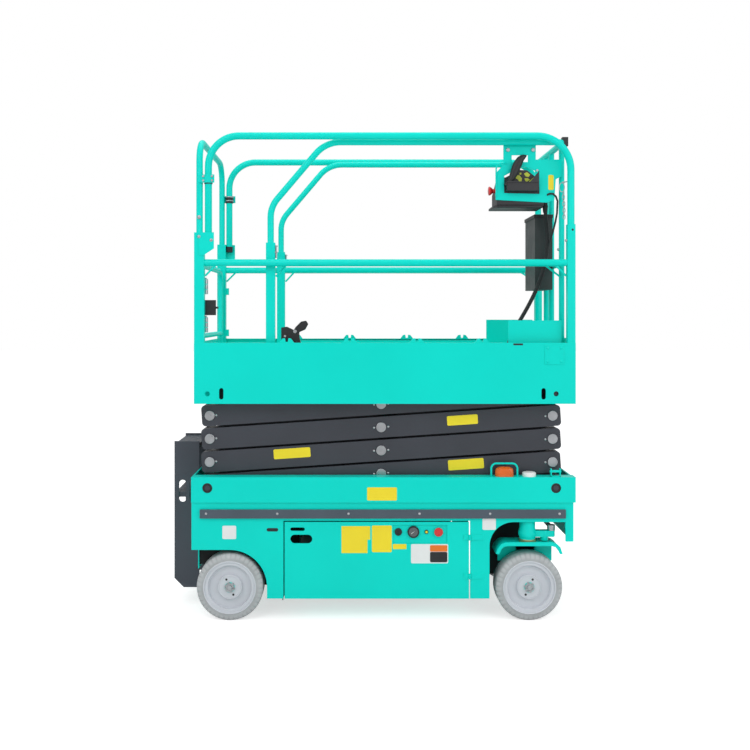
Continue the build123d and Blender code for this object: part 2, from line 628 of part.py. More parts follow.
# Ground control panel behind the near door's window
with BuildPart() as ground_controls:
    panel_x = (PANEL_X[0] - PANEL_MARGIN, PANEL_X[1] + PANEL_MARGIN)
    panel_z = (PANEL_Z[0] - PANEL_MARGIN, PANEL_Z[1] + PANEL_MARGIN)
    panel_face = SKIRT_INNER_Y - TOUCH_GAP
    block(panel_x, (-panel_face, PANEL_T - panel_face), panel_z)
    for knob_x, knob_d in ((KEY_X, KEY_D), (GAUGE_X, GAUGE_D), (BUTTON_X, BUTTON_D), (STOP_X, STOP_D)):
        rod_across(knob_x, SWITCH_Z, (-panel_face - STOP_H, -panel_face), knob_d)
ground_controls.part.label = "ground_controls"
export_step(ground_controls.part, "parts/ground_controls.step")

# Hydraulic power unit on the near tray, batteries on the far tray
UNIT_Y = (UNIT_MARGIN - SKIRT_INNER_Y, TRAY_DEPTH - SKIRT_INNER_Y - UNIT_MARGIN)
with BuildPart() as power_unit:
    unit_x = (TRAY_X[0] + UNIT_MARGIN, TRAY_X[1] - UNIT_MARGIN)
    block(unit_x, UNIT_Y, (TRAY_Z + TRAY_T, TRAY_Z + TRAY_T + UNIT_H))
power_unit.part.label = "power_unit"
export_step(power_unit.part, "parts/power_unit.step")

with BuildPart() as battery_pack:
    pack_l = TRAY_X[1] - TRAY_X[0] - 2 * UNIT_MARGIN
    battery_l = (pack_l - (BATTERY_COUNT - 1) * BATTERY_GAP) / BATTERY_COUNT
    for index in range(BATTERY_COUNT):
        battery_x = TRAY_X[0] + UNIT_MARGIN + index * (battery_l + BATTERY_GAP)
        battery_z = (TRAY_Z + TRAY_T, TRAY_Z + TRAY_T + BATTERY_H)
        block((battery_x, battery_x + battery_l), (-UNIT_Y[1], -UNIT_Y[0]), battery_z)
battery_pack.part.label = "battery_pack"
export_step(battery_pack.part, "parts/battery_pack.step")

# Beacon, its hoop and the round cap on the chassis top
TOP_Y = -(CHANNEL_INNER_Y + BODY_HALF_W) / 2
with BuildPart() as beacon:
    with BuildSketch(Plane.XY.offset(CHASSIS_TOP_Z)) as lamp_face:
        with Locations((BEACON_X, TOP_Y)):
            SlotOverall(BEACON_L, BEACON_W)
    extrude(amount=BEACON_H)
    fillet(beacon.faces().sort_by(Axis.Z)[-1].edges(), radius=BEACON_W / 3)
    rod_upright(CAP_X, TOP_Y, (CHASSIS_TOP_Z, CHASSIS_TOP_Z + CAP_H), CAP_D)
beacon.part.label = "beacon"
export_step(beacon.part, "parts/beacon.step")

with BuildPart() as beacon_guard:
    hoop_x = (BEACON_X - BEACON_HOOP_L / 2, BEACON_X + BEACON_HOOP_L / 2)
    hoop_z = CHASSIS_TOP_Z + BEACON_HOOP_H
    bent_tube(
        ((hoop_x[0], TOP_Y, CHASSIS_TOP_Z), (hoop_x[0], TOP_Y, hoop_z),
         (hoop_x[1], TOP_Y, hoop_z), (hoop_x[1], TOP_Y, CHASSIS_TOP_Z)),
        [BEACON_HOOP_R, BEACON_HOOP_R], BEACON_HOOP_D,
    )
beacon_guard.part.label = "beacon_guard"
export_step(beacon_guard.part, "parts/beacon_guard.step")


def stage_centre(stage):
    """The middle pin of a stage, as X and Z."""
    return MIDDLE_X, FIXED_PIN_Z + (stage - 0.5) * STAGE_PITCH


def arm_plane(stage, slope, y):
    """The plane of an arm's inner face on the near side, its local X along the arm."""
    centre_x, centre_z = stage_centre(stage)
    angle = radians(slope * REST_ANGLE)
    return Plane(origin=(centre_x, -y, centre_z), x_dir=(cos(angle), 0, sin(angle)), z_dir=(0, -1, 0))


def pin_at(level, right):
    """The end pin of a level, as X and Z."""
    return (SLIDE_PIN_X if right else FIXED_PIN_X), FIXED_PIN_Z + level * STAGE_PITCH


# Scissor arms: an outer and an inner pair for each stage
for stage in range(1, STAGES + 1):
    centre_x, centre_z = stage_centre(stage)
    with BuildPart() as outer_arms:
        with BuildSketch(arm_plane(stage, 1, OUTER_ARM_INNER_Y)) as outer_face:
            RectangleRounded(ARM_L + 2 * ARM_END, ARM_H, ARM_CORNER)
            with Locations((-ARM_L / 2, 0)):
                Circle(PIN_R + RUNNING, mode=Mode.SUBTRACT)
            if stage < STAGES:
                with Locations((ARM_L / 2, 0)):
                    Circle(PIN_R + RUNNING, mode=Mode.SUBTRACT)
        extrude(amount=ARM_T)
        rod_across(centre_x, centre_z, (-OUTER_ARM_FACE_Y - PIN_CAP_T, -OUTER_ARM_FACE_Y), PIN_CAP_D)
        rod_across(centre_x, centre_z, (-OUTER_ARM_INNER_Y, TOUCH_GAP - INNER_ARM_INNER_Y), PIN_D)
        cap_y = (TOUCH_GAP - INNER_ARM_INNER_Y, TOUCH_GAP + PIN_CAP_T - INNER_ARM_INNER_Y)
        rod_across(centre_x, centre_z, cap_y, PIN_CAP_D)
        if stage == STAGES:
            roller_x, roller_z = pin_at(stage, True)
            rod_across(roller_x, roller_z, (-ROLLER_Y, -OUTER_ARM_FACE_Y), PIN_D)
            rod_across(roller_x, roller_z, (-ROLLER_Y - ROLLER_W / 2, ROLLER_W / 2 - ROLLER_Y), ROLLER_D)
        mirror(about=Plane.XZ)
    outer_arms.part.label = f"outer_arms_{stage}"
    export_step(outer_arms.part, f"parts/outer_arms_{stage}.step")

    with BuildPart() as inner_arms:
        with BuildSketch(arm_plane(stage, -1, INNER_ARM_INNER_Y)) as inner_face:
            RectangleRounded(ARM_L + 2 * ARM_END, ARM_H, ARM_CORNER)
            Circle(PIN_R + RUNNING, mode=Mode.SUBTRACT)
            if stage == STAGES:
                with Locations((-ARM_L / 2, 0)):
                    Circle(PIN_R + RUNNING, mode=Mode.SUBTRACT)
        extrude(amount=ARM_T)
        mirror(about=Plane.XZ)
        low_x, low_z = pin_at(stage - 1, True)
        high_x, high_z = pin_at(stage, False)
        rod_across(low_x, low_z, (-INNER_ARM_INNER_Y, INNER_ARM_INNER_Y), CROSS_SHAFT_D)
        for side in (-1, 1):
            if stage == 1:
                span = sorted((side * INNER_ARM_FACE_Y, side * ROLLER_Y))
                rod_across(low_x, low_z, span, PIN_D)
                span = sorted((side * (ROLLER_Y - ROLLER_W / 2), side * (ROLLER_Y + ROLLER_W / 2)))
                rod_across(low_x, low_z, span, ROLLER_D)
            else:
                span = sorted((side * INNER_ARM_FACE_Y, side * (OUTER_ARM_FACE_Y + TOUCH_GAP)))
                rod_across(low_x, low_z, span, PIN_D)
                span = sorted((side * (OUTER_ARM_FACE_Y + TOUCH_GAP), side * (OUTER_ARM_FACE_Y + PIN_CAP_T)))
                rod_across(low_x, low_z, span, PIN_CAP_D)
        if stage < STAGES:
            rod_across(high_x, high_z, (-INNER_ARM_INNER_Y, INNER_ARM_INNER_Y), CROSS_SHAFT_D)
            for side in (-1, 1):
                span = sorted((side * INNER_ARM_FACE_Y, side * (OUTER_ARM_FACE_Y + TOUCH_GAP)))
                rod_across(high_x, high_z, span, PIN_D)
                span = sorted((side * (OUTER_ARM_FACE_Y + TOUCH_GAP), side * (OUTER_ARM_FACE_Y + PIN_CAP_T)))
                rod_across(high_x, high_z, span, PIN_CAP_D)
        if stage in (2, 3):
            hand = 1 if stage == 2 else -1
            lug_inner = CYL_EYE_W / 2 + LUG_SIDE_GAP
            for side in (-1, 1):
                lug_y = lug_inner + LUG_T if side == 1 else -lug_inner
                lug_plane = arm_plane(stage, -1, -lug_y)
                with BuildSketch(lug_plane) as lug_face:
                    with Locations((hand * (ARM_L / 2 + CYL_REACH) / 2, 0)):
                        SlotOverall(ARM_L / 2 - CYL_REACH + LUG_W, LUG_W)
                extrude(amount=LUG_T)
            if stage == 2:
                eye_plane = arm_plane(stage, -1, 0)
                eye_at = eye_plane.from_local_coords((CYL_REACH, 0, 0))
                rod_across(eye_at.X, eye_at.Z, (-lug_inner, lug_inner), PIN_D)
    inner_arms.part.label = f"inner_arms_{stage}"
    export_step(inner_arms.part, f"parts/inner_arms_{stage}.step")

# Lift cylinder from the second stage's inner arms to the third stage's
BARREL_EYE = arm_plane(2, -1, 0).from_local_coords((CYL_REACH, 0, 0))
ROD_EYE = arm_plane(3, -1, 0).from_local_coords((-CYL_REACH, 0, 0))
CYL_RUN = ROD_EYE - BARREL_EYE
CYL_DIR = CYL_RUN.normalized()
CYL_AXIS_PLANE = Plane(origin=BARREL_EYE, x_dir=(0, 1, 0), z_dir=CYL_DIR)


def along_cylinder(start, end, diameter, mode=Mode.ADD):
    """A round bar on the cylinder's axis, by distances from the barrel's eye."""
    with Locations(CYL_AXIS_PLANE.offset(start)):
        Cylinder(diameter / 2, end - start, align=(Align.CENTER, Align.CENTER, Align.MIN), mode=mode)


BARREL_D = CYL_BORE_D + 2 * CYL_WALL
BARREL_END = CYL_START + CYL_LENGTH
with BuildPart() as lift_cylinder_barrel:
    along_cylinder(0, CYL_START, CYL_EYE_W)
    along_cylinder(CYL_START, BARREL_END, BARREL_D)
    rod_across(BARREL_EYE.X, BARREL_EYE.Z, (-CYL_EYE_W / 2, CYL_EYE_W / 2), CYL_EYE_D)
    along_cylinder(CYL_START + CYL_WALL, BARREL_END - CYL_HEAD_L, CYL_BORE_D, Mode.SUBTRACT)
    along_cylinder(BARREL_END - CYL_HEAD_L, BARREL_END, CYL_ROD_D + 2 * TOUCH_GAP, Mode.SUBTRACT)
    rod_across(BARREL_EYE.X, BARREL_EYE.Z, (-CYL_EYE_W / 2, CYL_EYE_W / 2), PIN_D + 2 * RUNNING, Mode.SUBTRACT)
lift_cylinder_barrel.part.label = "lift_cylinder_barrel"
export_step(lift_cylinder_barrel.part, "parts/lift_cylinder_barrel.step")

with BuildPart() as lift_cylinder_rod:
    along_cylinder(CYL_PISTON_AT, CYL_RUN.length, CYL_ROD_D)
    along_cylinder(CYL_PISTON_AT, CYL_PISTON_AT + CYL_PISTON_L, CYL_BORE_D - 2 * TOUCH_GAP)
    rod_across(ROD_EYE.X, ROD_EYE.Z, (-CYL_EYE_W / 2, CYL_EYE_W / 2), CYL_EYE_D)
lift_cylinder_rod.part.label = "lift_cylinder_rod"
export_step(lift_cylinder_rod.part, "parts/lift_cylinder_rod.step")

# Platform: side boards with roller channels, deck plate, deck beams and the rear pivots
BOARD_Y = (BODY_HALF_W - BOARD_T, BODY_HALF_W)
FLANGE_Y = (CHANNEL_INNER_Y, BODY_HALF_W - BOARD_T)
DECK_Y = (BOARD_T - BODY_HALF_W, BODY_HALF_W - BOARD_T)
BEAM_Z = (FLOOR_Z - DECK_T - DECK_BEAM_H, FLOOR_Z - DECK_T)
with BuildPart() as platform_deck:
    with BuildSketch(Plane.XZ.offset(BOARD_Y[0])) as board_face:
        with Locations(((PLATFORM_X[0] + PLATFORM_X[1]) / 2, (PLATFORM_BOTTOM_Z + BOARD_TOP_Z) / 2)):
            Rectangle(PLATFORM_X[1] - PLATFORM_X[0], BOARD_TOP_Z - PLATFORM_BOTTOM_Z)
        for hole_x in (FIXED_PIN_X, SLIDE_PIN_X):
            with Locations((hole_x, PLATFORM_PIN_Z)):
                Circle(ACCESS_HOLE_D / 4, mode=Mode.SUBTRACT)
        for slot_x in BOARD_SLOT_X:
            with Locations((slot_x, PLATFORM_PIN_Z)):
                SlotOverall(BOARD_SLOT[1], BOARD_SLOT[0], rotation=90, mode=Mode.SUBTRACT)
    extrude(amount=BOARD_T)
    mirror(about=Plane.XZ)
    lip_x = (REAR_POST_X[1], FRONT_POST_X[0])
    both_sides(lip_x, (BOARD_Y[0] - LIP_W, BOARD_Y[0]), (BOARD_TOP_Z - BOARD_T, BOARD_TOP_Z))
    both_sides(PLATFORM_X, FLANGE_Y, (PLATFORM_BOTTOM_Z, PLATFORM_PIN_Z - ROLLER_CLEAR))
    flange_top = PLATFORM_PIN_Z + ROLLER_CLEAR + PLATE_T
    both_sides(PLATFORM_X, FLANGE_Y, (PLATFORM_PIN_Z + ROLLER_CLEAR, flange_top))
    block((PLATFORM_X[0], PLATFORM_X[1] - BOARD_T), DECK_Y, (FLOOR_Z - DECK_T, FLOOR_Z))
    block(TREAD_X, (-TREAD_HALF_W, TREAD_HALF_W), (FLOOR_Z, FLOOR_Z + TREAD_T))
    for beam_x in DECK_BEAM_X:
        block((beam_x - DECK_BEAM_W / 2, beam_x + DECK_BEAM_W / 2), DECK_Y, BEAM_Z)
    block((PLATFORM_X[1] - BOARD_T, PLATFORM_X[1]), DECK_Y, (PLATFORM_BOTTOM_Z, FLOOR_Z))
    block((PLATFORM_X[0], PLATFORM_X[0] + BOARD_T), DECK_Y, (BEAM_Z[0], FLOOR_Z))
    bracket_y = (OUTER_ARM_INNER_Y, OUTER_ARM_INNER_Y + PIVOT_PLATE_T)
    both_sides(pivot_x, bracket_y, (PLATFORM_PIN_Z - PIVOT_PLATE_W / 2, FLOOR_Z - DECK_T))
    for side in (-1, 1):
        span = sorted((side * (INNER_ARM_INNER_Y - TOUCH_GAP), side * bracket_y[0]))
        rod_across(FIXED_PIN_X, PLATFORM_PIN_Z, span, PIN_D)
        cap_end = INNER_ARM_INNER_Y - TOUCH_GAP - PIN_CAP_T
        span = sorted((side * cap_end, side * (INNER_ARM_INNER_Y - TOUCH_GAP)))
        rod_across(FIXED_PIN_X, PLATFORM_PIN_Z, span, PIN_CAP_D)
platform_deck.part.label = "platform_deck"
export_step(platform_deck.part, "parts/platform_deck.step")

# Main guard rails: a bent top rail, a mid rail and the front post on each side
POST_FACE_Y = BODY_HALF_W - BOARD_T
with BuildPart() as guard_rail_near:
    front_x = FRONT_POST_X[1] - RAIL_R - 1
    bent_tube(
        ((LEG_X, -RAIL_Y, LEG_BOTTOM_Z), (LEG_X, -RAIL_Y, TOP_RAIL_Z),
         (front_x, -RAIL_Y, TOP_RAIL_Z), (front_x, -RAIL_Y, FRONT_POST_TOP_Z - RAIL_D)),
        [LEFT_BEND_R, RIGHT_BEND_R], RAIL_D,
    )
    post_y = (-POST_FACE_Y, FRONT_POST_W - POST_FACE_Y)
    block(FRONT_POST_X, post_y, (FLOOR_Z, FRONT_POST_TOP_Z))
    rod_between((REAR_POST_X[1], -RAIL_Y, MID_RAIL_Z), (FRONT_POST_X[0], -RAIL_Y, MID_RAIL_Z), MID_RAIL_D)
    brace_top = MID_RAIL_Z - MID_RAIL_D / 2 + BRACE_D / 2
    for post_x, hand in ((REAR_POST_X[1], 1), (FRONT_POST_X[0], -1)):
        brace_end = (post_x + hand * BRACE_REACH, -RAIL_Y, brace_top)
        brace_start = (post_x + hand * BRACE_TRIM, -RAIL_Y, brace_top - BRACE_REACH + BRACE_TRIM)
        rod_between(brace_start, brace_end, BRACE_D)
guard_rail_near.part.label = "guard_rail_near"
export_step(guard_rail_near.part, "parts/guard_rail_near.step")

with BuildPart() as guard_rail_far:
    mirror(guard_rail_near.part, about=Plane.XZ)
guard_rail_far.part.label = "guard_rail_far"
export_step(guard_rail_far.part, "parts/guard_rail_far.step")

# Entry frame: rear corner posts, a hoop across the top and the plates that hold the side rails
with BuildPart() as entry_frame:
    both_sides(REAR_POST_X, (POST_FACE_Y - REAR_POST_W, POST_FACE_Y), (FLOOR_Z, REAR_POST_TOP_Z))
    bent_tube(
        ((HOOP_X, -HOOP_Y, REAR_POST_TOP_Z - HOOP_D), (HOOP_X, -HOOP_Y, HOOP_Z),
         (HOOP_X, HOOP_Y, HOOP_Z), (HOOP_X, HOOP_Y, REAR_POST_TOP_Z - HOOP_D)),
        [HOOP_BEND_R, HOOP_BEND_R], HOOP_D,
    )
    plate_gap = RAIL_Y + RAIL_R + RUNNING
    upright_plate(GUSSET, -plate_gap, BODY_HALF_W - plate_gap)
    upright_plate(GUSSET, BODY_HALF_W, BODY_HALF_W - plate_gap)
    both_sides(CLAMP_X, (plate_gap, BODY_HALF_W), CLAMP_Z)
entry_frame.part.label = "entry_frame"
export_step(entry_frame.part, "parts/entry_frame.step")

# Entry gate: a bent loop on two hinges at the near post
with BuildPart() as entry_gate:
    gate_y = GATE_HALF_W - GATE_TUBE / 2
    gate_foot = GATE_Z[0] - GATE_TUBE / 2
    bent_tube(
        ((GATE_X, -gate_y, gate_foot), (GATE_X, -gate_y, GATE_Z[1]), (GATE_X, gate_y, GATE_Z[1]),
         (GATE_X, gate_y, gate_foot)), [GATE_BEND_R, GATE_BEND_R], GATE_TUBE,
    )
    rod_across(GATE_X, GATE_Z[0], (-gate_y, gate_y), GATE_BAR_D)
    for hinge_z in GATE_HINGE_Z:
        rod_upright(GATE_AXIS_X, GATE_AXIS_Y, (hinge_z, hinge_z + GATE_HINGE_H), GATE_HINGE_D)
        leaf_y = (GATE_AXIS_Y - GATE_HINGE_D / 2, GATE_AXIS_Y + GATE_HINGE_D / 2)
        block((GATE_X, GATE_AXIS_X), leaf_y, (hinge_z, hinge_z + GATE_HINGE_H))
entry_gate.part.label = "entry_gate"
export_step(entry_gate.part, "parts/entry_gate.step")

# Extension deck: a sliding floor with skids, low side boards and a front board
with BuildPart() as extension_deck:
    ext_y = (-EXT_HALF_W, EXT_HALF_W)
    block(EXT_X, ext_y, (EXT_FLOOR_BOTTOM_Z, EXT_FLOOR_Z))
    skid_z = (FLOOR_Z + EXT_SKID_GAP, EXT_FLOOR_BOTTOM_Z)
    both_sides(EXT_X, (EXT_HALF_W - EXT_SKID_W, EXT_HALF_W), skid_z)
    both_sides(EXT_X, (EXT_HALF_W - EXT_BOARD_T, EXT_HALF_W), (EXT_FLOOR_Z, EXT_BOARD_TOP_Z))
    block((EXT_X[1] - EXT_BOARD_T, EXT_X[1]), ext_y, (EXT_FLOOR_Z, EXT_FRONT_TOP_Z))
    both_sides(EXT_WING_X, (EXT_HALF_W - EXT_BOARD_T, EXT_HALF_W), (EXT_FLOOR_Z, EXT_WING_TOP_Z))
extension_deck.part.label = "extension_deck"
export_step(extension_deck.part, "parts/extension_deck.step")

# Extension rails: one top tube and one mid tube, each bent round the front, with posts
with BuildPart() as extension_rails:
    bent_tube(
        ((EXT_RAIL_REAR_X, -EXT_RAIL_Y, EXT_POST_TOP_Z - EXT_RAIL_D), (EXT_RAIL_REAR_X, -EXT_RAIL_Y, EXT_BEND_Z),
         (EXT_BEND_X, -EXT_RAIL_Y, EXT_TOP_Z), (EXT_RAIL_FRONT_X, -EXT_RAIL_Y, EXT_TOP_Z),
         (EXT_RAIL_FRONT_X, EXT_RAIL_Y, EXT_TOP_Z), (EXT_BEND_X, EXT_RAIL_Y, EXT_TOP_Z),
         (EXT_RAIL_REAR_X, EXT_RAIL_Y, EXT_BEND_Z), (EXT_RAIL_REAR_X, EXT_RAIL_Y, EXT_POST_TOP_Z - EXT_RAIL_D)),
        [EXT_LOWER_R, EXT_UPPER_R, EXT_PLAN_R, EXT_PLAN_R, EXT_UPPER_R, EXT_LOWER_R], EXT_RAIL_D,
    )
    bent_tube(
        ((EXT_RAIL_REAR_X, -EXT_RAIL_Y, MID_RAIL_Z), (EXT_RAIL_FRONT_X, -EXT_RAIL_Y, MID_RAIL_Z),
         (EXT_RAIL_FRONT_X, EXT_RAIL_Y, MID_RAIL_Z), (EXT_RAIL_REAR_X, EXT_RAIL_Y, MID_RAIL_Z)),
        [EXT_PLAN_R, EXT_PLAN_R], EXT_RAIL_D,
    )
    post_x = (EXT_RAIL_REAR_X - EXT_POST[0] / 2, EXT_RAIL_REAR_X + EXT_POST[0] / 2)
    both_sides(post_x, (EXT_RAIL_Y - EXT_POST[1] / 2, EXT_RAIL_Y + EXT_POST[1] / 2), (EXT_FLOOR_Z, EXT_POST_TOP_Z))
    for post_y in EXT_FRONT_POST_Y:
        rod_upright(EXT_RAIL_FRONT_X, post_y, (EXT_FLOOR_Z, EXT_TOP_Z), EXT_FRONT_POST_D)
extension_rails.part.label = "extension_rails"
export_step(extension_rails.part, "parts/extension_rails.step")

# Control box: the plate that hangs from the extension's top rail and the housing behind it
PLATE_Y = EXT_RAIL_Y - EXT_RAIL_D / 2 - TOUCH_GAP
with BuildPart() as control_box:
    with BuildSketch(Plane.XZ.offset(PLATE_Y - BRACKET_T)) as bracket_face:
        Polygon(*BRACKET_OUTLINE, align=None)
        Polygon(*BRACKET_WINDOW, align=None, mode=Mode.SUBTRACT)
        Polygon(*CONSOLE_WINDOW, align=None, mode=Mode.SUBTRACT)
    extrude(amount=BRACKET_T)
    saddle_z = (EXT_TOP_Z + EXT_RAIL_D / 2 + TOUCH_GAP, EXT_TOP_Z + EXT_RAIL_D / 2 + BRACKET_T)
    saddle_y = (-EXT_RAIL_Y - EXT_RAIL_D / 2, BRACKET_T - PLATE_Y)
    block((BRACKET_OUTLINE[0][0], BRACKET_OUTLINE[1][0]), saddle_y, saddle_z)
    block((BRACKET_OUTLINE[0][0], BRACKET_OUTLINE[1][0]), (-PLATE_Y, BRACKET_T - PLATE_Y), (EXT_TOP_Z, saddle_z[0]))
    floor_y = (BRACKET_T - PLATE_Y, CONSOLE_DEPTH - PLATE_Y)
    block(CONSOLE_X, floor_y, (CONSOLE_Z[0] - BRACKET_T, CONSOLE_Z[0]))
control_box.part.label = "control_box"
export_step(control_box.part, "parts/control_box.step")

# Console with its sloped face, joystick and stop button
with BuildPart() as operator_controls:
    with BuildSketch(Plane.YZ.offset(CONSOLE_X[0])) as console_side:
        Polygon(
            (BRACKET_T + TOUCH_GAP - PLATE_Y, CONSOLE_Z[0]), (CONSOLE_DEPTH - PLATE_Y, CONSOLE_Z[0]),
            (CONSOLE_DEPTH - PLATE_Y, CONSOLE_Z[1] - CONSOLE_SLOPE),
            (BRACKET_T + TOUCH_GAP - PLATE_Y, CONSOLE_Z[1]), align=None,
        )
    extrude(amount=CONSOLE_X[1] - CONSOLE_X[0])
    stick_y = CONSOLE_DEPTH / 3 - PLATE_Y
    stick_base = (JOYSTICK_BASE[0], stick_y, JOYSTICK_BASE[1] - JOYSTICK_D)
    rod_between(stick_base, (JOYSTICK_TOP[0], stick_y, JOYSTICK_TOP[1]), JOYSTICK_STEM_D)
    with Locations((JOYSTICK_TOP[0], stick_y, JOYSTICK_TOP[1])):
        Sphere(JOYSTICK_D / 2)
    stop_at = (CONSOLE_X[0], stick_y, BOX_STOP_Z)
    rod_between(stop_at, (CONSOLE_X[0] - BOX_STOP_D, stick_y, BOX_STOP_Z), BOX_STOP_D)
operator_controls.part.label = "operator_controls"
export_step(operator_controls.part, "parts/operator_controls.step")

# Document box on the front posts, open at the top
with BuildPart() as document_box:
    block(DOCUMENT_X, DOCUMENT_Y, DOCUMENT_Z)
    inside_x = (DOCUMENT_X[0] + DOCUMENT_WALL, DOCUMENT_X[1] - DOCUMENT_WALL)
    inside_y = (DOCUMENT_Y[0] + DOCUMENT_WALL, DOCUMENT_Y[1] - DOCUMENT_WALL)
    block(inside_x, inside_y, (DOCUMENT_Z[0] + DOCUMENT_WALL, DOCUMENT_Z[1]), Mode.SUBTRACT)
document_box.part.label = "document_box"
export_step(document_box.part, "parts/document_box.step")

# Conduit along its route
legs = [Vector(*b) - Vector(*a) for a, b in zip(CONDUIT_ROUTE, CONDUIT_ROUTE[1:])]
conduit_radii = []
for before, after in zip(legs, legs[1:]):
    turn = radians(before.get_angle(after))
    conduit_radii.append(0.45 * min(before.length, after.length) / tan(turn / 2))
with BuildPart() as conduit:
    bent_tube(CONDUIT_ROUTE, conduit_radii, CONDUIT_D)
conduit.part.label = "conduit"
export_step(conduit.part, "parts/conduit.step")

# Pedal that locks the extension deck
with BuildPart() as deck_lock:
    upright_plate(LOCK_OUTLINE, -(EXT_RAIL_Y - LOCK_W / 2), LOCK_W)
deck_lock.part.label = "deck_lock"
export_step(deck_lock.part, "parts/deck_lock.step")
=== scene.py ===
import json
import math

import bmesh
import bpy
from mathutils import Matrix, Vector


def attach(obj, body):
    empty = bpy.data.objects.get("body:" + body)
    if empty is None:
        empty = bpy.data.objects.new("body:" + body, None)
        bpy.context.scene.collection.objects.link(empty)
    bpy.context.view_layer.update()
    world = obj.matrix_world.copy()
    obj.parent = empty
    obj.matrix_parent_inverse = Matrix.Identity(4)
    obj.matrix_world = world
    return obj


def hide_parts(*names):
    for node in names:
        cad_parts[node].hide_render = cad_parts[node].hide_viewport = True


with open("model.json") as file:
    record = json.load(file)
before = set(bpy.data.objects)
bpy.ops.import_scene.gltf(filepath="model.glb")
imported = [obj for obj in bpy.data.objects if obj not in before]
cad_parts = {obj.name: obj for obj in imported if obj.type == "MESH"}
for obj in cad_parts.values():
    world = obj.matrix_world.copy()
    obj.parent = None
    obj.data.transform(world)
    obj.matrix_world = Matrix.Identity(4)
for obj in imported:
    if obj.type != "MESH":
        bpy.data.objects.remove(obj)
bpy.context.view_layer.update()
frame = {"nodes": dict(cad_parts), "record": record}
NODES = frame["nodes"]
MM = 0.001
show = bpy.context.scene.collection.objects.link

# Camera at the photograph's viewing angle, level, looking along +Y
CAMERA_AT = (-92, -4480, 1398)
CAMERA_LENS = 43.1
CAMERA_SHIFT = (0.0333, -0.0800)
camera_data = bpy.data.cameras.new("camera")
camera_data.lens = CAMERA_LENS
camera_data.sensor_width = 36
camera_data.shift_x, camera_data.shift_y = CAMERA_SHIFT
camera = bpy.data.objects.new("camera", camera_data)
camera.location = Vector(CAMERA_AT) * MM
camera.rotation_euler = (math.radians(90), 0, 0)
show(camera)
bpy.context.scene.camera = camera
bpy.context.scene.view_settings.view_transform = "Standard"

# Conduit from the control box to the extension floor, the part's own route in millimetres
HOSE_D = 17.6
CONDUIT_ROUTE = (
    (836, -210, 1915), (838, -206, 1868), (846, -200, 1815), (850, -196, 1760), (848, -194, 1700),
    (838, -193, 1640), (822, -194, 1582), (800, -196, 1526), (774, -198, 1471), (745, -200, 1418),
    (714, -202, 1366), (684, -204, 1313), (660, -205, 1257), (648, -206, 1198), (648, -206, 1141),
)


def nurbs_line(name, route):
    """A smooth curve with the route's points as its control points."""
    curve = bpy.data.curves.new(name, "CURVE")
    curve.dimensions = "3D"
    spline = curve.splines.new("NURBS")
    spline.points.add(len(route) - 1)
    for point, place in zip(spline.points, route):
        point.co = (*(Vector(place) * MM), 1)
    spline.order_u = 3
    spline.use_endpoint_u = True
    spline.resolution_u = 12
    return curve


def line_points(curve):
    """The curve's own points, in order, in metres."""
    holder = bpy.data.objects.new("route", curve)
    show(holder)
    bpy.context.view_layer.update()
    mesh = bpy.data.meshes.new_from_object(holder)
    points = [vertex.co.copy() for vertex in mesh.vertices]
    bpy.data.objects.remove(holder)
    return points


# Materials
def linear(red, green, blue):
    """An sRGB colour in whole numbers as the linear colour that the shaders take."""
    values = [channel / 255 for channel in (red, green, blue)]
    return tuple(v / 12.92 if v <= 0.04045 else ((v + 0.055) / 1.055) ** 2.4 for v in values)


def shaded(colour, factor):
    """A lighter or darker form of a colour."""
    return tuple(min(1, channel * factor) for channel in colour)


DRIFT_STOPS = (0.3, 0.7)
EDGE_TINT_FROM, EDGE_TINT_TO = 0.53, 0.60


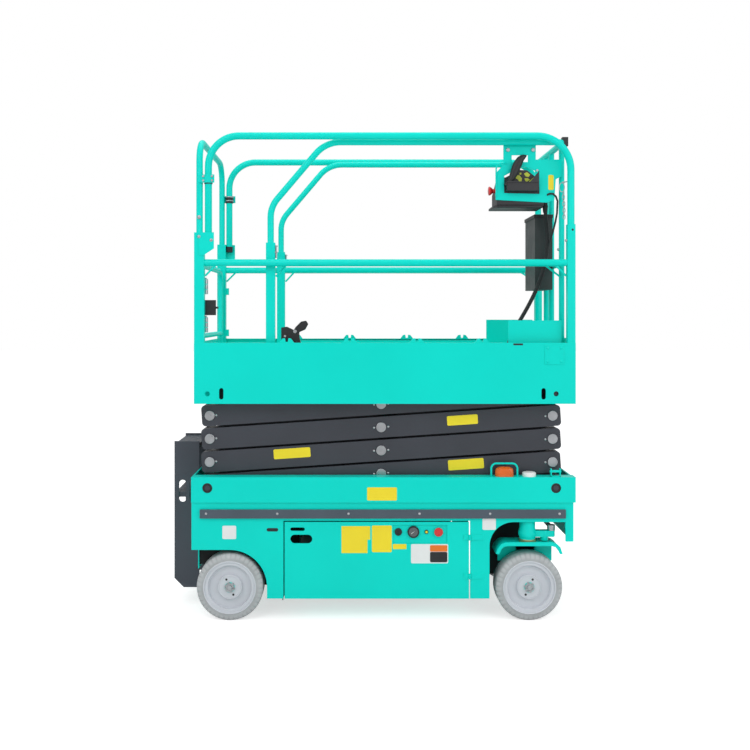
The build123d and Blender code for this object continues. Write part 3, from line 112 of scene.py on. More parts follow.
class Material:
    """A principled material with uneven colour, uneven roughness and fine relief."""

    def __init__(self, name, colour, roughness, metallic=0.0):
        self.material = bpy.data.materials.new(name)
        self.material.use_nodes = True
        self.material.diffuse_color = (*colour, 1)
        self.tree = self.material.node_tree
        self.shader = self.tree.nodes["Principled BSDF"]
        self.shader.inputs["Base Color"].default_value = (*colour, 1)
        self.shader.inputs["Roughness"].default_value = roughness
        self.shader.inputs["Metallic"].default_value = metallic
        self.place = self.tree.nodes.new("ShaderNodeTexCoord")
        self.colour = colour
        self.roughness = roughness

    def link(self, source, target):
        self.tree.links.new(source, target)

    def noise(self, scale, detail=3, stretch=None):
        texture = self.tree.nodes.new("ShaderNodeTexNoise")
        texture.inputs["Scale"].default_value = scale
        texture.inputs["Detail"].default_value = detail
        if stretch is None:
            self.link(self.place.outputs["Object"], texture.inputs["Vector"])
        else:
            mapping = self.tree.nodes.new("ShaderNodeMapping")
            mapping.inputs["Scale"].default_value = stretch
            self.link(self.place.outputs["Object"], mapping.inputs["Vector"])
            self.link(mapping.outputs["Vector"], texture.inputs["Vector"])
        return texture.outputs["Fac"]

    def ramp(self, source, stops):
        ramp = self.tree.nodes.new("ShaderNodeValToRGB")
        elements = ramp.color_ramp.elements
        while len(elements) < len(stops):
            elements.new(0.5)
        for element, (position, colour) in zip(elements, stops):
            element.position = position
            element.color = (*colour, 1)
        self.link(source, ramp.inputs["Fac"])
        return ramp.outputs["Color"]

    def mottle(self, scale, low, high):
        """The base colour drifts between two factors of itself."""
        stops = list(zip(DRIFT_STOPS, (shaded(self.colour, low), shaded(self.colour, high))))
        output = self.ramp(self.noise(scale), stops)
        self.link(output, self.shader.inputs["Base Color"])
        self.base = output
        return self

    # Sharp, standing-out edges take the given colour, lighter than the base in every use here
    def edge_tint(self, colour):
        """Edges that stand out show another colour."""
        geometry = self.tree.nodes.new("ShaderNodeNewGeometry")
        mask = self.ramp(geometry.outputs["Pointiness"], [(EDGE_TINT_FROM, (0, 0, 0)), (EDGE_TINT_TO, (1, 1, 1))])
        mix = self.tree.nodes.new("ShaderNodeMix")
        mix.data_type = "RGBA"
        self.link(mask, mix.inputs["Factor"])
        self.link(self.base, mix.inputs["A"])
        mix.inputs["B"].default_value = (*colour, 1)
        self.link(mix.outputs["Result"], self.shader.inputs["Base Color"])
        self.base = mix.outputs["Result"]
        return self

    def patchy_gloss(self, scale, spread):
        """Roughness drifts about its own value."""
        low, high = self.roughness - spread, self.roughness + spread
        ramp = self.ramp(self.noise(scale), list(zip(DRIFT_STOPS, ((low,) * 3, (high,) * 3))))
        self.link(ramp, self.shader.inputs["Roughness"])
        return self

    def relief(self, scale, strength, distance, stretch=None, detail=2):
        """Fine relief from noise."""
        bump = self.tree.nodes.new("ShaderNodeBump")
        bump.inputs["Strength"].default_value = strength
        bump.inputs["Distance"].default_value = distance
        self.link(self.noise(scale, detail, stretch), bump.inputs["Height"])
        self.link(bump.outputs["Normal"], self.shader.inputs["Normal"])
        return self

    def coat(self, weight, roughness=0.12):
        self.shader.inputs["Coat Weight"].default_value = weight
        self.shader.inputs["Coat Roughness"].default_value = roughness
        return self


PAINT_SPECULAR = 0.16
PAINT_COAT = 0.03
PAINT_PEEL = (420, 0.05, 0.0006)


def paint(name, rgb, roughness=0.34):
    """Powder coat: a little orange peel, slow colour drift and a thin clear gloss."""
    colour = linear(*rgb)
    made = Material(name, colour, roughness).mottle(2.2, 0.965, 1.035).patchy_gloss(5, 0.05)
    made.shader.inputs["Specular IOR Level"].default_value = PAINT_SPECULAR
    return made.relief(*PAINT_PEEL).coat(PAINT_COAT).material


TEAL = paint("teal_paint", (0, 226, 211))
CHARCOAL = (
    Material("charcoal_paint", linear(54, 57, 66), 0.42).mottle(3, 0.86, 1.16).edge_tint(linear(92, 96, 106))
    .patchy_gloss(7, 0.07).relief(380, 0.06, 0.0006).coat(0.15).material
)
LADDER_GREY = (
    Material("ladder_paint", linear(66, 72, 82), 0.45).mottle(3, 0.9, 1.12).edge_tint(linear(112, 118, 128))
    .patchy_gloss(6, 0.06).relief(380, 0.06, 0.0006).material
)
TYRE = (
    Material("tyre_rubber", linear(176, 180, 182), 0.72).mottle(14, 0.90, 1.08).edge_tint(linear(205, 208, 210))
    .patchy_gloss(20, 0.08).relief(900, 0.18, 0.0006).material
)
RIM = (
    Material("rim_paint", linear(212, 216, 223), 0.4).mottle(5, 0.95, 1.03)
    .patchy_gloss(9, 0.05).relief(420, 0.05, 0.0005).coat(0.2).material
)
STRIP = (
    Material("strip_rubber", linear(74, 86, 98), 0.55).mottle(6, 0.9, 1.1)
    .patchy_gloss(12, 0.06).relief(700, 0.10, 0.0005, (1, 1, 8)).material
)
BLACK = (
    Material("black_plastic", linear(30, 31, 34), 0.5).mottle(8, 0.8, 1.25)
    .patchy_gloss(14, 0.07).relief(1400, 0.16, 0.0004).material
)
GREY_PLASTIC = (
    Material("grey_plastic", linear(42, 51, 52), 0.5).mottle(8, 0.9, 1.12)
    .patchy_gloss(14, 0.06).relief(1200, 0.14, 0.0004).material
)
STEEL = (
    Material("zinc_steel", linear(188, 190, 194), 0.34, 1.0).mottle(20, 0.85, 1.1)
    .patchy_gloss(30, 0.08).relief(900, 0.08, 0.0003, (1, 1, 6)).material
)
CHROME = (
    Material("chromed_rod", linear(214, 216, 220), 0.12, 1.0).mottle(10, 0.95, 1.05)
    .relief(1500, 0.03, 0.0002, (1, 12, 12)).material
)
BATTERY = (
    Material("battery_case", linear(44, 45, 49), 0.5).mottle(6, 0.85, 1.15)
    .patchy_gloss(12, 0.06).relief(900, 0.14, 0.0004).material
)
UNIT = (
    Material("unit_casing", linear(120, 124, 130), 0.42, 0.4).mottle(6, 0.9, 1.1)
    .patchy_gloss(10, 0.06).relief(500, 0.06, 0.0004).material
)


def film(name, rgb, low, high):
    """Thin printed film, left blank."""
    made = Material(name, linear(*rgb), 0.45).mottle(9, low, high).patchy_gloss(12, 0.05)
    return made.relief(300, 0.03, 0.0003).material


YELLOW = film("yellow_film", (250, 226, 36), 0.96, 1.02)
WHITE = film("white_film", (240, 242, 242), 0.97, 1.0)
ORANGE_FILM = film("orange_film", (240, 122, 34), 0.96, 1.03)
RED = (
    Material("red_plastic", linear(222, 38, 40), 0.28).mottle(9, 0.94, 1.04)
    .patchy_gloss(12, 0.05).relief(600, 0.03, 0.0002).coat(0.4).material
)
BRASS = (
    Material("dull_brass", linear(196, 186, 140), 0.38, 0.9).mottle(14, 0.9, 1.06)
    .patchy_gloss(18, 0.07).relief(700, 0.06, 0.0003).material
)
DIAL = (
    Material("dial_face", linear(96, 100, 104), 0.5).mottle(20, 0.85, 1.1)
    .patchy_gloss(14, 0.05).relief(500, 0.04, 0.0002).material
)
# Near-black painted shade, for sheets that stand where the chassis is only in shadow
SHADOW = (
    Material("painted_shade_near_black", linear(26, 30, 32), 0.8).mottle(6, 0.85, 1.2)
    .patchy_gloss(12, 0.06).relief(600, 0.14, 0.0006).material
)
LIME = (
    Material("lime_mark", linear(188, 200, 60), 0.5).mottle(16, 0.9, 1.08)
    .patchy_gloss(14, 0.05).relief(500, 0.04, 0.0003).material
)


def lens_material():
    """Clear orange plastic with fine vertical ribs."""
    made = Material("orange_lens", linear(246, 112, 20), 0.16).mottle(12, 0.92, 1.06).coat(0.5)
    made.shader.inputs["Transmission Weight"].default_value = 0.15
    made.shader.inputs["IOR"].default_value = 1.49
    return made.relief(260, 0.12, 0.0008, (6, 6, 0.2)).material


LENS = lens_material()
SLOT_MATERIALS = {
    "teal_paint": TEAL, "floor_plate": TEAL, "charcoal_paint": CHARCOAL, "tyre_grey": TYRE, "rim_grey": RIM,
    "strip_rubber": STRIP, "black_plastic": BLACK, "orange_lens": LENS, "steel": STEEL,
    "chromed_rod": CHROME, "battery_case": BATTERY,
}
NODE_MATERIALS = {"ladder": LADDER_GREY, "power_unit": UNIT, "document_box": GREY_PLASTIC}
BEVEL_WIDTH = 1.6
BEVEL_ANGLE = math.radians(35)
WELD_DISTANCE = 0.01


def soften(piece, width, angle):
    """Rounds the edges that turn by more than an angle."""
    bevel = piece.modifiers.new("bevel", "BEVEL")
    bevel.width = width * MM
    bevel.segments = 2
    bevel.limit_method = "ANGLE"
    bevel.angle_limit = angle


for entry in frame["record"]["subparts"]:
    node = NODES[entry["node"]]
    node.data.materials.clear()
    node.data.materials.append(NODE_MATERIALS.get(node.name, SLOT_MATERIALS[entry["material_slot"]]))
    weld = node.modifiers.new("weld", "WELD")
    weld.merge_threshold = WELD_DISTANCE * MM
    soften(node, BEVEL_WIDTH, BEVEL_ANGLE)

# Pieces that the solids leave out, all in millimetres
NEAR = Vector((0, -1, 0))
FAR = Vector((0, 1, 0))
UP = Vector((0, 0, 1))
RIGHT = Vector((1, 0, 0))
SHARP = math.radians(32)


class Shape:
    """One piece: closed forms joined in one mesh."""

    def __init__(self, name):
        self.name = name
        self.mesh = bmesh.new()

    def rings(self, rings, closed=False):
        """Skins rings of points in order, with a face on each end unless the rings close on themselves."""
        made = [[self.mesh.verts.new(Vector(point) * MM) for point in ring] for ring in rings]
        count = len(made[0])
        pairs = list(zip(made, made[1:]))
        if closed:
            pairs.append((made[-1], made[0]))
        else:
            self.mesh.faces.new(made[0][::-1])
            self.mesh.faces.new(made[-1])
        for low, high in pairs:
            for i in range(count):
                j = (i + 1) % count
                self.mesh.faces.new((low[i], low[j], high[j], high[i]))
        return self

    def box(self, x, y, z):
        corners = ((x[0], y[0]), (x[1], y[0]), (x[1], y[1]), (x[0], y[1]))
        return self.rings([[(a, b, c) for a, b in corners] for c in z])

    def plate(self, outline, origin, across, along, thickness):
        """An outline drawn on the plane of two directions, thickened along their normal."""
        across, along = Vector(across).normalized(), Vector(along).normalized()
        normal = across.cross(along)
        flat = [Vector(origin) + across * a + along * b for a, b in outline]
        return self.rings([flat, [point + normal * thickness for point in flat]])

    def turned(self, origin, axis, profile, sides=32):
        """A round form: steps of distance along the axis and radius."""
        axis = Vector(axis).normalized()
        across = axis.orthogonal().normalized()
        other = axis.cross(across)
        rings = []
        for along, radius in profile:
            centre = Vector(origin) + axis * along
            angles = [math.tau * i / sides for i in range(sides)]
            rings.append([centre + (across * math.cos(a) + other * math.sin(a)) * radius for a in angles])
        return self.rings(rings)

    def rod(self, start, end, diameter, sides=20):
        run = Vector(end) - Vector(start)
        return self.turned(start, run, ((0, diameter / 2), (run.length, diameter / 2)), sides)

    def bolt(self, origin, axis, diameter, height):
        """A low domed head."""
        radius = diameter / 2
        steps = ((-1, radius), (height * 0.4, radius), (height * 0.8, radius * 0.72), (height, radius * 0.3))
        return self.turned(origin, axis, steps, 20)

    def hexagon(self, origin, axis, across, height):
        radius = across / 2
        steps = ((-1, radius), (height * 0.85, radius), (height, radius * 0.9))
        return self.turned(origin, axis, steps, 6)

    def tube(self, points, diameter, sides=12, closed=False):
        """A round bar along points."""
        points = [Vector(point) for point in points]
        count = len(points)
        rings = []
        previous = None
        for i, point in enumerate(points):
            after = points[(i + 1) % count] if closed or i + 1 < count else point
            before = points[i - 1] if closed or i > 0 else point
            direction = (after - before).normalized()
            if previous is None:
                previous = direction.orthogonal().normalized()
            across = (previous - direction * previous.dot(direction)).normalized()
            other = direction.cross(across)
            previous = across
            angles = [math.tau * j / sides for j in range(sides)]
            radius = diameter / 2
            rings.append([point + (across * math.cos(a) + other * math.sin(a)) * radius for a in angles])
        return self.rings(rings, closed)

    def done(self, material, body, bevel=0.5, replaces=()):
        """Closes the mesh, gives it its material and body, and rounds its edges."""
        bmesh.ops.recalc_face_normals(self.mesh, faces=self.mesh.faces)
        for face in self.mesh.faces:
            face.smooth = True
        for edge in self.mesh.edges:
            edge.smooth = edge.calc_face_angle(0) < SHARP
        mesh = bpy.data.meshes.new(self.name)
        self.mesh.to_mesh(mesh)
        self.mesh.free()
        mesh.materials.append(material)
        piece = bpy.data.objects.new(self.name, mesh)
        show(piece)
        if bevel:
            soften(piece, bevel, SHARP)
        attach(piece, body)
        if replaces:
            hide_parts(*replaces)
        return piece


def arc(centre, first, second, radius, start, end, steps):
    """Points on an arc between two angles in degrees, in the plane of two directions."""
    centre, first, second = Vector(centre), Vector(first), Vector(second)
    angles = [math.radians(start + (end - start) * i / steps) for i in range(steps + 1)]
    return [centre + (first * math.cos(a) + second * math.sin(a)) * radius for a in angles]


# Wheels: tyres with notched shoulders, a raised rim ring, hub holes and castle nuts
WHEEL_Z = 152.5
TRACK_Y = 325
AXLE_X = {"rear": -642, "front": 728}
TYRE_FULL = (
    (152.5, 0), (152.5, 40), (149.5, 46.5), (139.5, 53.5), (128, 55), (125.5, 54), (123, 54.5), (118.5, 54.5),
)
TYRE_NOTCH = (
    (152.5, 0), (152.4, 39), (149.1, 45.7), (138.9, 53.1), (128, 55), (125.5, 54), (123, 54.5), (118.5, 54.5),
)
TYRE_LUGS = 40
RING_SIDES = 96
LUG_STEPS = ((0.0, TYRE_FULL), (0.62, TYRE_FULL), (0.68, TYRE_NOTCH), (0.94, TYRE_NOTCH))
RING_PROFILE = ((44, 115.6), (56, 115.6), (57.4, 117), (57.4, 119.6), (56, 121), (44, 121))
HUB_FACE = 45
HUB_HOLE_AT = 38
HUB_HOLE_R = 5.2
HUB_HOLE_LEAN = {"rear": -0.42, "front": 0.42}
HUB_HOLE_RISE = 0.91
HUB_RING = ((-1, 54), (2, 54), (3.2, 52.5), (3.2, 50.5), (-1, 49.5))
NUT_ACROSS = 50
NUT_H = 8
STUB_STEPS = ((8, 11), (13, 11), (14, 10))
TEETH = 6
TOOTH_ANGLES = (12, 48)
TOOTH_R = (14, 20)
TOOTH_H = 5.5
SPLIT_PIN_D, SPLIT_PIN_HALF = 3.4, 21
SIDES = (("near", -1), ("far", 1))


def ring_section(centre, side, profile, angle):
    """One section of a form turned about a wheel's axle."""
    outward = Vector((math.cos(angle), 0, math.sin(angle)))
    return [centre + outward * radius + FAR * side * along for radius, along in profile]


def tyre_profile(half):
    """Both sides of a tyre from the profile of one."""
    return [*half, *((radius, -along) for radius, along in half[:0:-1])]


for axle, axle_x in AXLE_X.items():
    for hand, side in SIDES:
        corner = f"{axle}_{hand}"
        wheel = f"wheel_{corner}"
        centre = Vector((axle_x, side * TRACK_Y, WHEEL_Z))
        outward = FAR * side
        sections = []
        for lug in range(TYRE_LUGS):
            for share, half in LUG_STEPS:
                angle = math.tau * (lug + share) / TYRE_LUGS
                sections.append(ring_section(centre, side, tyre_profile(half), angle))
        tyre = Shape(f"solid_tyre_{corner}").rings(sections, closed=True)
        tyre.done(TYRE, wheel, 0, (f"tyre_{corner}",))
        ring = Shape(f"rim_ring_{corner}")
        profile = [(radius, along) for along, radius in RING_PROFILE]
        turns = [math.tau * i / RING_SIDES for i in range(RING_SIDES)]
        ring.rings([ring_section(centre, side, profile, angle) for angle in turns], closed=True)
        ring.done(RIM, wheel, 0)
        # Hub holes drawn as black discs: painted shade in the holes
        holes = Shape(f"hub_holes_{corner}")
        for sign in (-1, 1):
            hole = centre + Vector((sign * HUB_HOLE_LEAN[axle], 0, sign * HUB_HOLE_RISE)) * HUB_HOLE_AT
            holes.turned(hole, outward, ((HUB_FACE - 2, HUB_HOLE_R), (HUB_FACE + 0.4, HUB_HOLE_R)), 20)
        holes.done(BLACK, wheel, 0)
        hub = Shape(f"hub_ring_{corner}")
        profile = [(radius, HUB_FACE + along) for along, radius in HUB_RING]
        hub.rings([ring_section(centre, side, profile, angle) for angle in turns], closed=True)
        hub.done(RIM, wheel, 0)
        nut = Shape(f"castle_nut_{corner}")
        nut_steps = ((HUB_FACE + 1, NUT_ACROSS / 2), (HUB_FACE + NUT_H, NUT_ACROSS / 2))
        nut.turned(centre, outward, nut_steps, 6)
        nut.turned(centre, outward, [(HUB_FACE + along, radius) for along, radius in STUB_STEPS], 24)
        for tooth in range(TEETH):
            start, end = (360 / TEETH * tooth + angle for angle in TOOTH_ANGLES)
            outer = arc((0, 0, 0), RIGHT, UP, TOOTH_R[1], start, end, 4)
            inner = arc((0, 0, 0), RIGHT, UP, TOOTH_R[0], end, start, 4)
            outline = [centre + point + outward * (HUB_FACE + NUT_H - 1) for point in (*outer, *inner)]
            nut.rings([outline, [point + outward * TOOTH_H for point in outline]])
        pin_at = centre + outward * (HUB_FACE + 10.5)
        nut.rod(pin_at + UP * SPLIT_PIN_HALF, pin_at - UP * SPLIT_PIN_HALF, SPLIT_PIN_D, 10)
        nut.done(STEEL, "chassis" if axle == "rear" else f"knuckle_{hand}", 0.4)

# Thrust ring on each kingpin
KINGPIN_X = AXLE_X["front"]
THRUST_Z = 352
THRUST_STEPS = ((-0.5, 40), (13, 40), (14, 39))
for hand, side in SIDES:
    thrust = Shape(f"thrust_ring_{hand}").turned((KINGPIN_X, side * TRACK_Y, THRUST_Z), UP, THRUST_STEPS, 40)
    thrust.done(BRASS, f"knuckle_{hand}", 0.4)

# Wheel wells and sheets behind the door gaps and latch holes, near-black as painted shade inside the chassis;
# slots beside the doors, black as painted shade in the slot; and wheel guards' lips
FRONT_WELL_OUTLINE = ((548, 150), (770, 150), (770, 432), (923, 432), (923, 461), (548, 461))
REAR_WELL_OUTLINE = ((-800, 226), (-800, 372), (-476, 372), (-476, 128), (-545, 128), (-575, 226))
GUARD_LIP_OUTLINE = (
    (577, 306), (589, 336), (601, 351), (622, 359), (834, 359), (855, 351), (871, 335), (880, 306),
    (868, 304), (857, 327), (846, 337), (828, 341), (628, 341), (611, 337), (600, 325), (590, 303),
)
FRONT_WELL_Y = (146, 150)
REAR_WELL_Y = (250, 254)
GUARD_LIP_Y = (371, 375.5)
REAR_END = ((-806, -800), (150, 262), (208, 320))
GAP_SHEETS = (
    ((-420, -352), (146, 150), (92, 440)), ((-402, -385.5), (300, 304), (92, 300)),
    ((-402, -398), (304, 369), (92, 300)),
)
SKIN_Y = 372
SLOT_ENDS = ((-428, -90), (-466, 90))
SLOT_Z, SLOT_R = 415.5, 7.5
SLOT_SUNK, SLOT_T = 0.3, 1.2


def upright(name, outline, depths, side):
    """A sheet standing along the machine between two distances from its centre line."""
    low, high = sorted(side * depth for depth in depths)
    return Shape(name).plate(outline, (0, high, 0), RIGHT, UP, high - low)


def side_box(shape, x, depths, z, side):
    """A box between two distances from the centre line, on one side."""
    return shape.box(x, sorted(side * depth for depth in depths), z)


for hand, side in SIDES:
    # Near-black wall sheets in the front and rear wheel wells: painted shade
    well = upright(f"wheel_well_wall_{hand}", FRONT_WELL_OUTLINE, FRONT_WELL_Y, side)
    well.done(SHADOW, "chassis", 0.8)
    well = upright(f"rear_well_wall_{hand}", REAR_WELL_OUTLINE, REAR_WELL_Y, side)
    well.done(SHADOW, "chassis", 0.8)
    side_box(Shape(f"rear_well_end_{hand}"), *REAR_END, side).done(TEAL, "chassis", 0.6)
    # Near-black sheets behind the door gaps: painted shade where white would show through
    sheet = Shape(f"door_gap_sheet_{hand}")
    for sheet_box in GAP_SHEETS:
        side_box(sheet, *sheet_box, side)
    sheet.done(SHADOW, "chassis", 0.6)
    # The slot is drawn as a black strip: painted shade in the slot
    outline = []
    for end_x, turn in SLOT_ENDS:
        outline += [(p.x, p.z) for p in arc((end_x, 0, SLOT_Z), RIGHT, UP, SLOT_R, turn, turn + 180, 10)]
    inner, outer = side * SKIN_Y - side * SLOT_SUNK, side * SKIN_Y + side * (SLOT_T - SLOT_SUNK)
    slot = Shape(f"side_slot_{hand}").plate(outline, (0, max(inner, outer), 0), RIGHT, UP, SLOT_T)
    slot.done(BLACK, "chassis", 0)
    lip = upright(f"guard_lip_{hand}", GUARD_LIP_OUTLINE, GUARD_LIP_Y, side)
    lip.done(TEAL, f"knuckle_{hand}", 1.2)

# Rub strip screws
STRIP_BOLT_X = (-749, -424, -99, 225, 547, 864)
STRIP_BOLT_Z = 491
STRIP_FACE_Y = 384
screws = Shape("rub_strip_screws")
for bolt_x in STRIP_BOLT_X:
    for outward in (NEAR, FAR):
        screws.bolt(Vector((bolt_x, 0, STRIP_BOLT_Z)) + outward * STRIP_FACE_Y, outward, 11, 3)
screws.done(STEEL, "chassis", 0)

# Blank plates on the near side
BEAM_FACE_Y, ARM_FACE = 380, 306
PLATES = (
    ("white_plate_rear", WHITE, "chassis", SKIN_Y, (-676, -613), (373, 434), 0),
    ("white_plate_front", WHITE, "chassis", SKIN_Y, (514, 575), (415, 468), 0),
    ("yellow_plate_beam", YELLOW, "chassis", BEAM_FACE_Y, (-14, 122), (551, 611), 0),
    ("yellow_plate_door_right", YELLOW, "door_near", SKIN_Y, (8, 99), (313, 435), 0),
    ("yellow_plate_switch", YELLOW, "door_near", SKIN_Y, (104, 166), (327, 350), 0),
    ("white_plate_door", WHITE, "door_near", SKIN_Y, (187, 357), (262, 350), 0),
    ("yellow_plate_arm_1", YELLOW, "outer_arms_1", ARM_FACE, (364, 530), (675, 734), 1),
    ("yellow_plate_arm_2", YELLOW, "outer_arms_2", ARM_FACE, (-447, -276), (727, 784), 1),
    ("yellow_plate_arm_3", YELLOW, "outer_arms_3", ARM_FACE, (359, 502), (883, 937), 1),
)
ARM_SPAN, STAGE_RISE = 1597, 107.75
ARM_SLOPE = math.asin(STAGE_RISE / ARM_SPAN)
PLATE_THICKNESS = 0.8


def blank_plate(name, material, body, depth, x, z, tilted, lift=0.0):
    """A thin plate stuck on a near face, tilted as the arms are if asked."""
    half_l, half_h = (x[1] - x[0]) / 2, (z[1] - z[0]) / 2
    if tilted:
        half_h -= half_l * math.tan(ARM_SLOPE)
    angle = ARM_SLOPE if tilted else 0
    along = Vector((math.cos(angle), 0, math.sin(angle)))
    upright = Vector((-math.sin(angle), 0, math.cos(angle)))
    corner = min(6, half_h * 0.3)
    outline = []
    for sign_x, sign_z, start in ((1, 1, 0), (-1, 1, 90), (-1, -1, 180), (1, -1, 270)):
        middle = Vector((sign_x * (half_l - corner), sign_z * (half_h - corner), 0))
        outline += [tuple(p)[:2] for p in arc(middle, RIGHT, FAR, corner, start, start + 90, 4)]
    origin = ((x[0] + x[1]) / 2, -depth + 0.1 - lift, (z[0] + z[1]) / 2)
    plate = Shape(name).plate(outline, origin, along, upright, PLATE_THICKNESS)
    return plate.done(material, body, 0)


for name, material, body, depth, x, z, tilted in PLATES:
    blank_plate(name, material, body, depth, x, z, tilted)
blank_plate("orange_field", ORANGE_FILM, "door_near", SKIN_Y, (274, 353), (316, 345), 0, PLATE_THICKNESS)
blank_plate("black_field", BLACK, "door_near", SKIN_Y, (274, 353), (267, 314), 0, PLATE_THICKNESS)
door_plate = Shape("yellow_plate_door_left")
DOOR_PLATE = ((-131, 309), (-12, 309), (-12, 370), (0, 370), (0, 432), (-131, 432))
door_plate.plate(DOOR_PLATE, (0, 0.1 - SKIN_Y, 0), RIGHT, UP, PLATE_THICKNESS)
door_plate.done(YELLOW, "door_near", 0)

# Ground controls in the near door's window: a recessed panel, a key switch, a gauge, a button and a stop
PANEL_FACE = -365.7
SWITCH_Z = 405
KEY_X, GAUGE_X, BUTTON_X, STOP_X = 129, 198, 258, 313
panel = Shape("control_panel").box((96, 360), (PANEL_FACE, PANEL_FACE + 4), (344, 445))
panel.done(TEAL, "door_near", 0.5, ("ground_controls",))
key = Shape("key_switch").turned((KEY_X, PANEL_FACE, SWITCH_Z), NEAR, ((-1, 17), (7, 17), (9, 15)), 28)
key.box((KEY_X - 1.5, KEY_X + 1.5), (PANEL_FACE - 10.5, PANEL_FACE - 8), (SWITCH_Z - 8, SWITCH_Z + 8))
key.done(BLACK, "door_near", 0.4)
needle = Shape("gauge_needle")
NEEDLE_OUTLINE = ((-12, -1.2), (9, 0), (-12, 1.2))
NEEDLE_ALONG, NEEDLE_ACROSS = (0.8, 0, 0.6), (-0.6, 0, 0.8)
needle.plate(NEEDLE_OUTLINE, (GAUGE_X, PANEL_FACE - 9.1, SWITCH_Z), NEEDLE_ALONG, NEEDLE_ACROSS, 0.8)
needle.done(WHITE, "door_near", 0)
DIALS = (
    ("gauge_case", GAUGE_X, ((-1, 27), (9, 27), (11, 25.5), (11, 23), (8.5, 21.5)), 40, BLACK, 0.3),
    ("gauge_face", GAUGE_X, ((7.5, 21), (9.2, 21)), 40, DIAL, 0),
    ("button_ring", BUTTON_X, ((-1, 9), (5, 9), (6, 7.5)), 24, BLACK, 0.3),
    ("button_cap", BUTTON_X, ((5, 5.5), (8, 5.5), (9.5, 3)), 24, YELLOW, 0.3),
    ("ground_stop", STOP_X, ((-1, 11), (5, 11), (6, 19), (10, 20.5), (12.5, 19), (13.6, 13)), 36, RED, 0.4),
)
for name, dial_x, steps, sides, material, edge in DIALS:
    Shape(name).turned((dial_x, PANEL_FACE, SWITCH_Z), NEAR, steps, sides).done(material, "door_near", edge)

# Dark discs in the beams' access holes as painted shade in the holes, and pin caps with their rings and
# screws on the arms
FIXED_X, MIDDLE_X, SLIDE_X = -744, 52.69, 849.36
PIN_Z = 607
SOCKET_STEPS = ((374.3, 22.6), (376, 22.6))
PIN_END_STEPS = ((376, 12), (377.5, 12), (378.3, 11))
SCREW_OFFSET, END_SCREW = 33, 30
# Black discs fill the access holes: painted shade in the holes
sockets = Shape("pin_sockets")
ends = Shape("pin_ends")
for socket_x in (FIXED_X, SLIDE_X):
    for outward in (NEAR, FAR):
        middle = Vector((socket_x, 0, PIN_Z))
        sockets.turned(middle, outward, SOCKET_STEPS, 32)
        ends.turned(middle, outward, PIN_END_STEPS, 24)
sockets.done(BLACK, "chassis", 0)
ends.done(CHARCOAL, "chassis", 0.3)
CAP_FACE = 310
CAP_RING = ((-1, 22.6), (0.9, 22.6), (1.4, 21.8), (1.4, 18.6), (0.4, 18))


def pin_caps(shape, x, z):
    for outward in (NEAR, FAR):
        shape.turned(Vector((x, 0, z)) + outward * CAP_FACE, outward, CAP_RING, 36)


def arm_screws(shape, x, z, offsets):
    for offset in offsets:
        for outward in (NEAR, FAR):
            place = Vector((x + offset * math.cos(ARM_SLOPE), 0, z + offset * math.sin(ARM_SLOPE)))
            shape.bolt(place + outward * ARM_FACE, outward, 10, 3.4)


STAGES = 4
for stage in range(1, STAGES + 1):
    middle_z = PIN_Z + (stage - 0.5) * STAGE_RISE
    low_z, high_z = PIN_Z + (stage - 1) * STAGE_RISE, PIN_Z + stage * STAGE_RISE
    caps = Shape(f"outer_cap_rings_{stage}")
    pin_caps(caps, MIDDLE_X, middle_z)
    caps.done(STEEL, f"outer_arms_{stage}", 0)
    screws = Shape(f"arm_screws_{stage}")
    arm_screws(screws, MIDDLE_X, middle_z, (-SCREW_OFFSET, SCREW_OFFSET))
    if stage > 1:
        arm_screws(screws, FIXED_X, low_z, (END_SCREW,))
    if stage < STAGES:
        arm_screws(screws, SLIDE_X, high_z, (-SCREW_OFFSET,))
    screws.done(STEEL, f"outer_arms_{stage}", 0)
    caps = Shape(f"inner_cap_rings_{stage}")
    if stage > 1:
        pin_caps(caps, SLIDE_X, low_z)
    if stage < STAGES:
        pin_caps(caps, FIXED_X, high_z)
    caps.done(STEEL, f"inner_arms_{stage}", 0)

# Beacon: ribbed lens and a round white cap
BEACON_AT = Vector((618, -348, 657))
LENS_SIDES = 120
LENS_R, LENS_HALF_L = 25, 18
LENS_RIB = 0.018
LENS_RIBS_Z = (7, 37)
LENS_STEPS = ((0, 1.0), (6, 1.0), (7, 0.95), (28, 0.93), (37, 0.84), (42, 0.62), (44, 0.3))
lens = Shape("beacon_lens")
lens_rings = []
for height, share in LENS_STEPS:
    section = []
    for i in range(LENS_SIDES):
        angle = math.tau * i / LENS_SIDES
        ribbed = i % 3 == 0 and LENS_RIBS_Z[0] <= height <= LENS_RIBS_Z[1]
        wide = share * (1 + (LENS_RIB if ribbed else 0))
        x = math.cos(angle) * LENS_R + math.copysign(LENS_HALF_L, math.cos(angle))
        section.append(BEACON_AT + Vector((x * wide, math.sin(angle) * LENS_R * wide, height)))
    lens_rings.append(section)
lens.rings(lens_rings)
lens.done(LENS, "chassis", 0, ("beacon",))
cap_steps = ((0, 31), (14, 31), (18.5, 28), (20, 22), (20.6, 8))
white_cap = Shape("round_cap").turned((732, -348, 657), UP, cap_steps, 48)
white_cap.done(WHITE, "chassis", 0.4)
bracket = Shape("top_bracket")
BRACKET_Y = (-362, -346)
for bracket_x, bracket_z in (((829, 875), (656, 660)), ((829, 834), (656, 693)), ((870, 875), (656, 693))):
    bracket.box(bracket_x, BRACKET_Y, bracket_z)
bracket.rod((826, -354, 680), (878, -354, 680), 12)
bracket.done(TEAL, "chassis", 0.6)

# Diamond plate: raised bars in two directions on the steps and both floors
DIAMOND_PITCH = 30
DIAMOND_L, DIAMOND_W, DIAMOND_H = 22, 6, 1.1


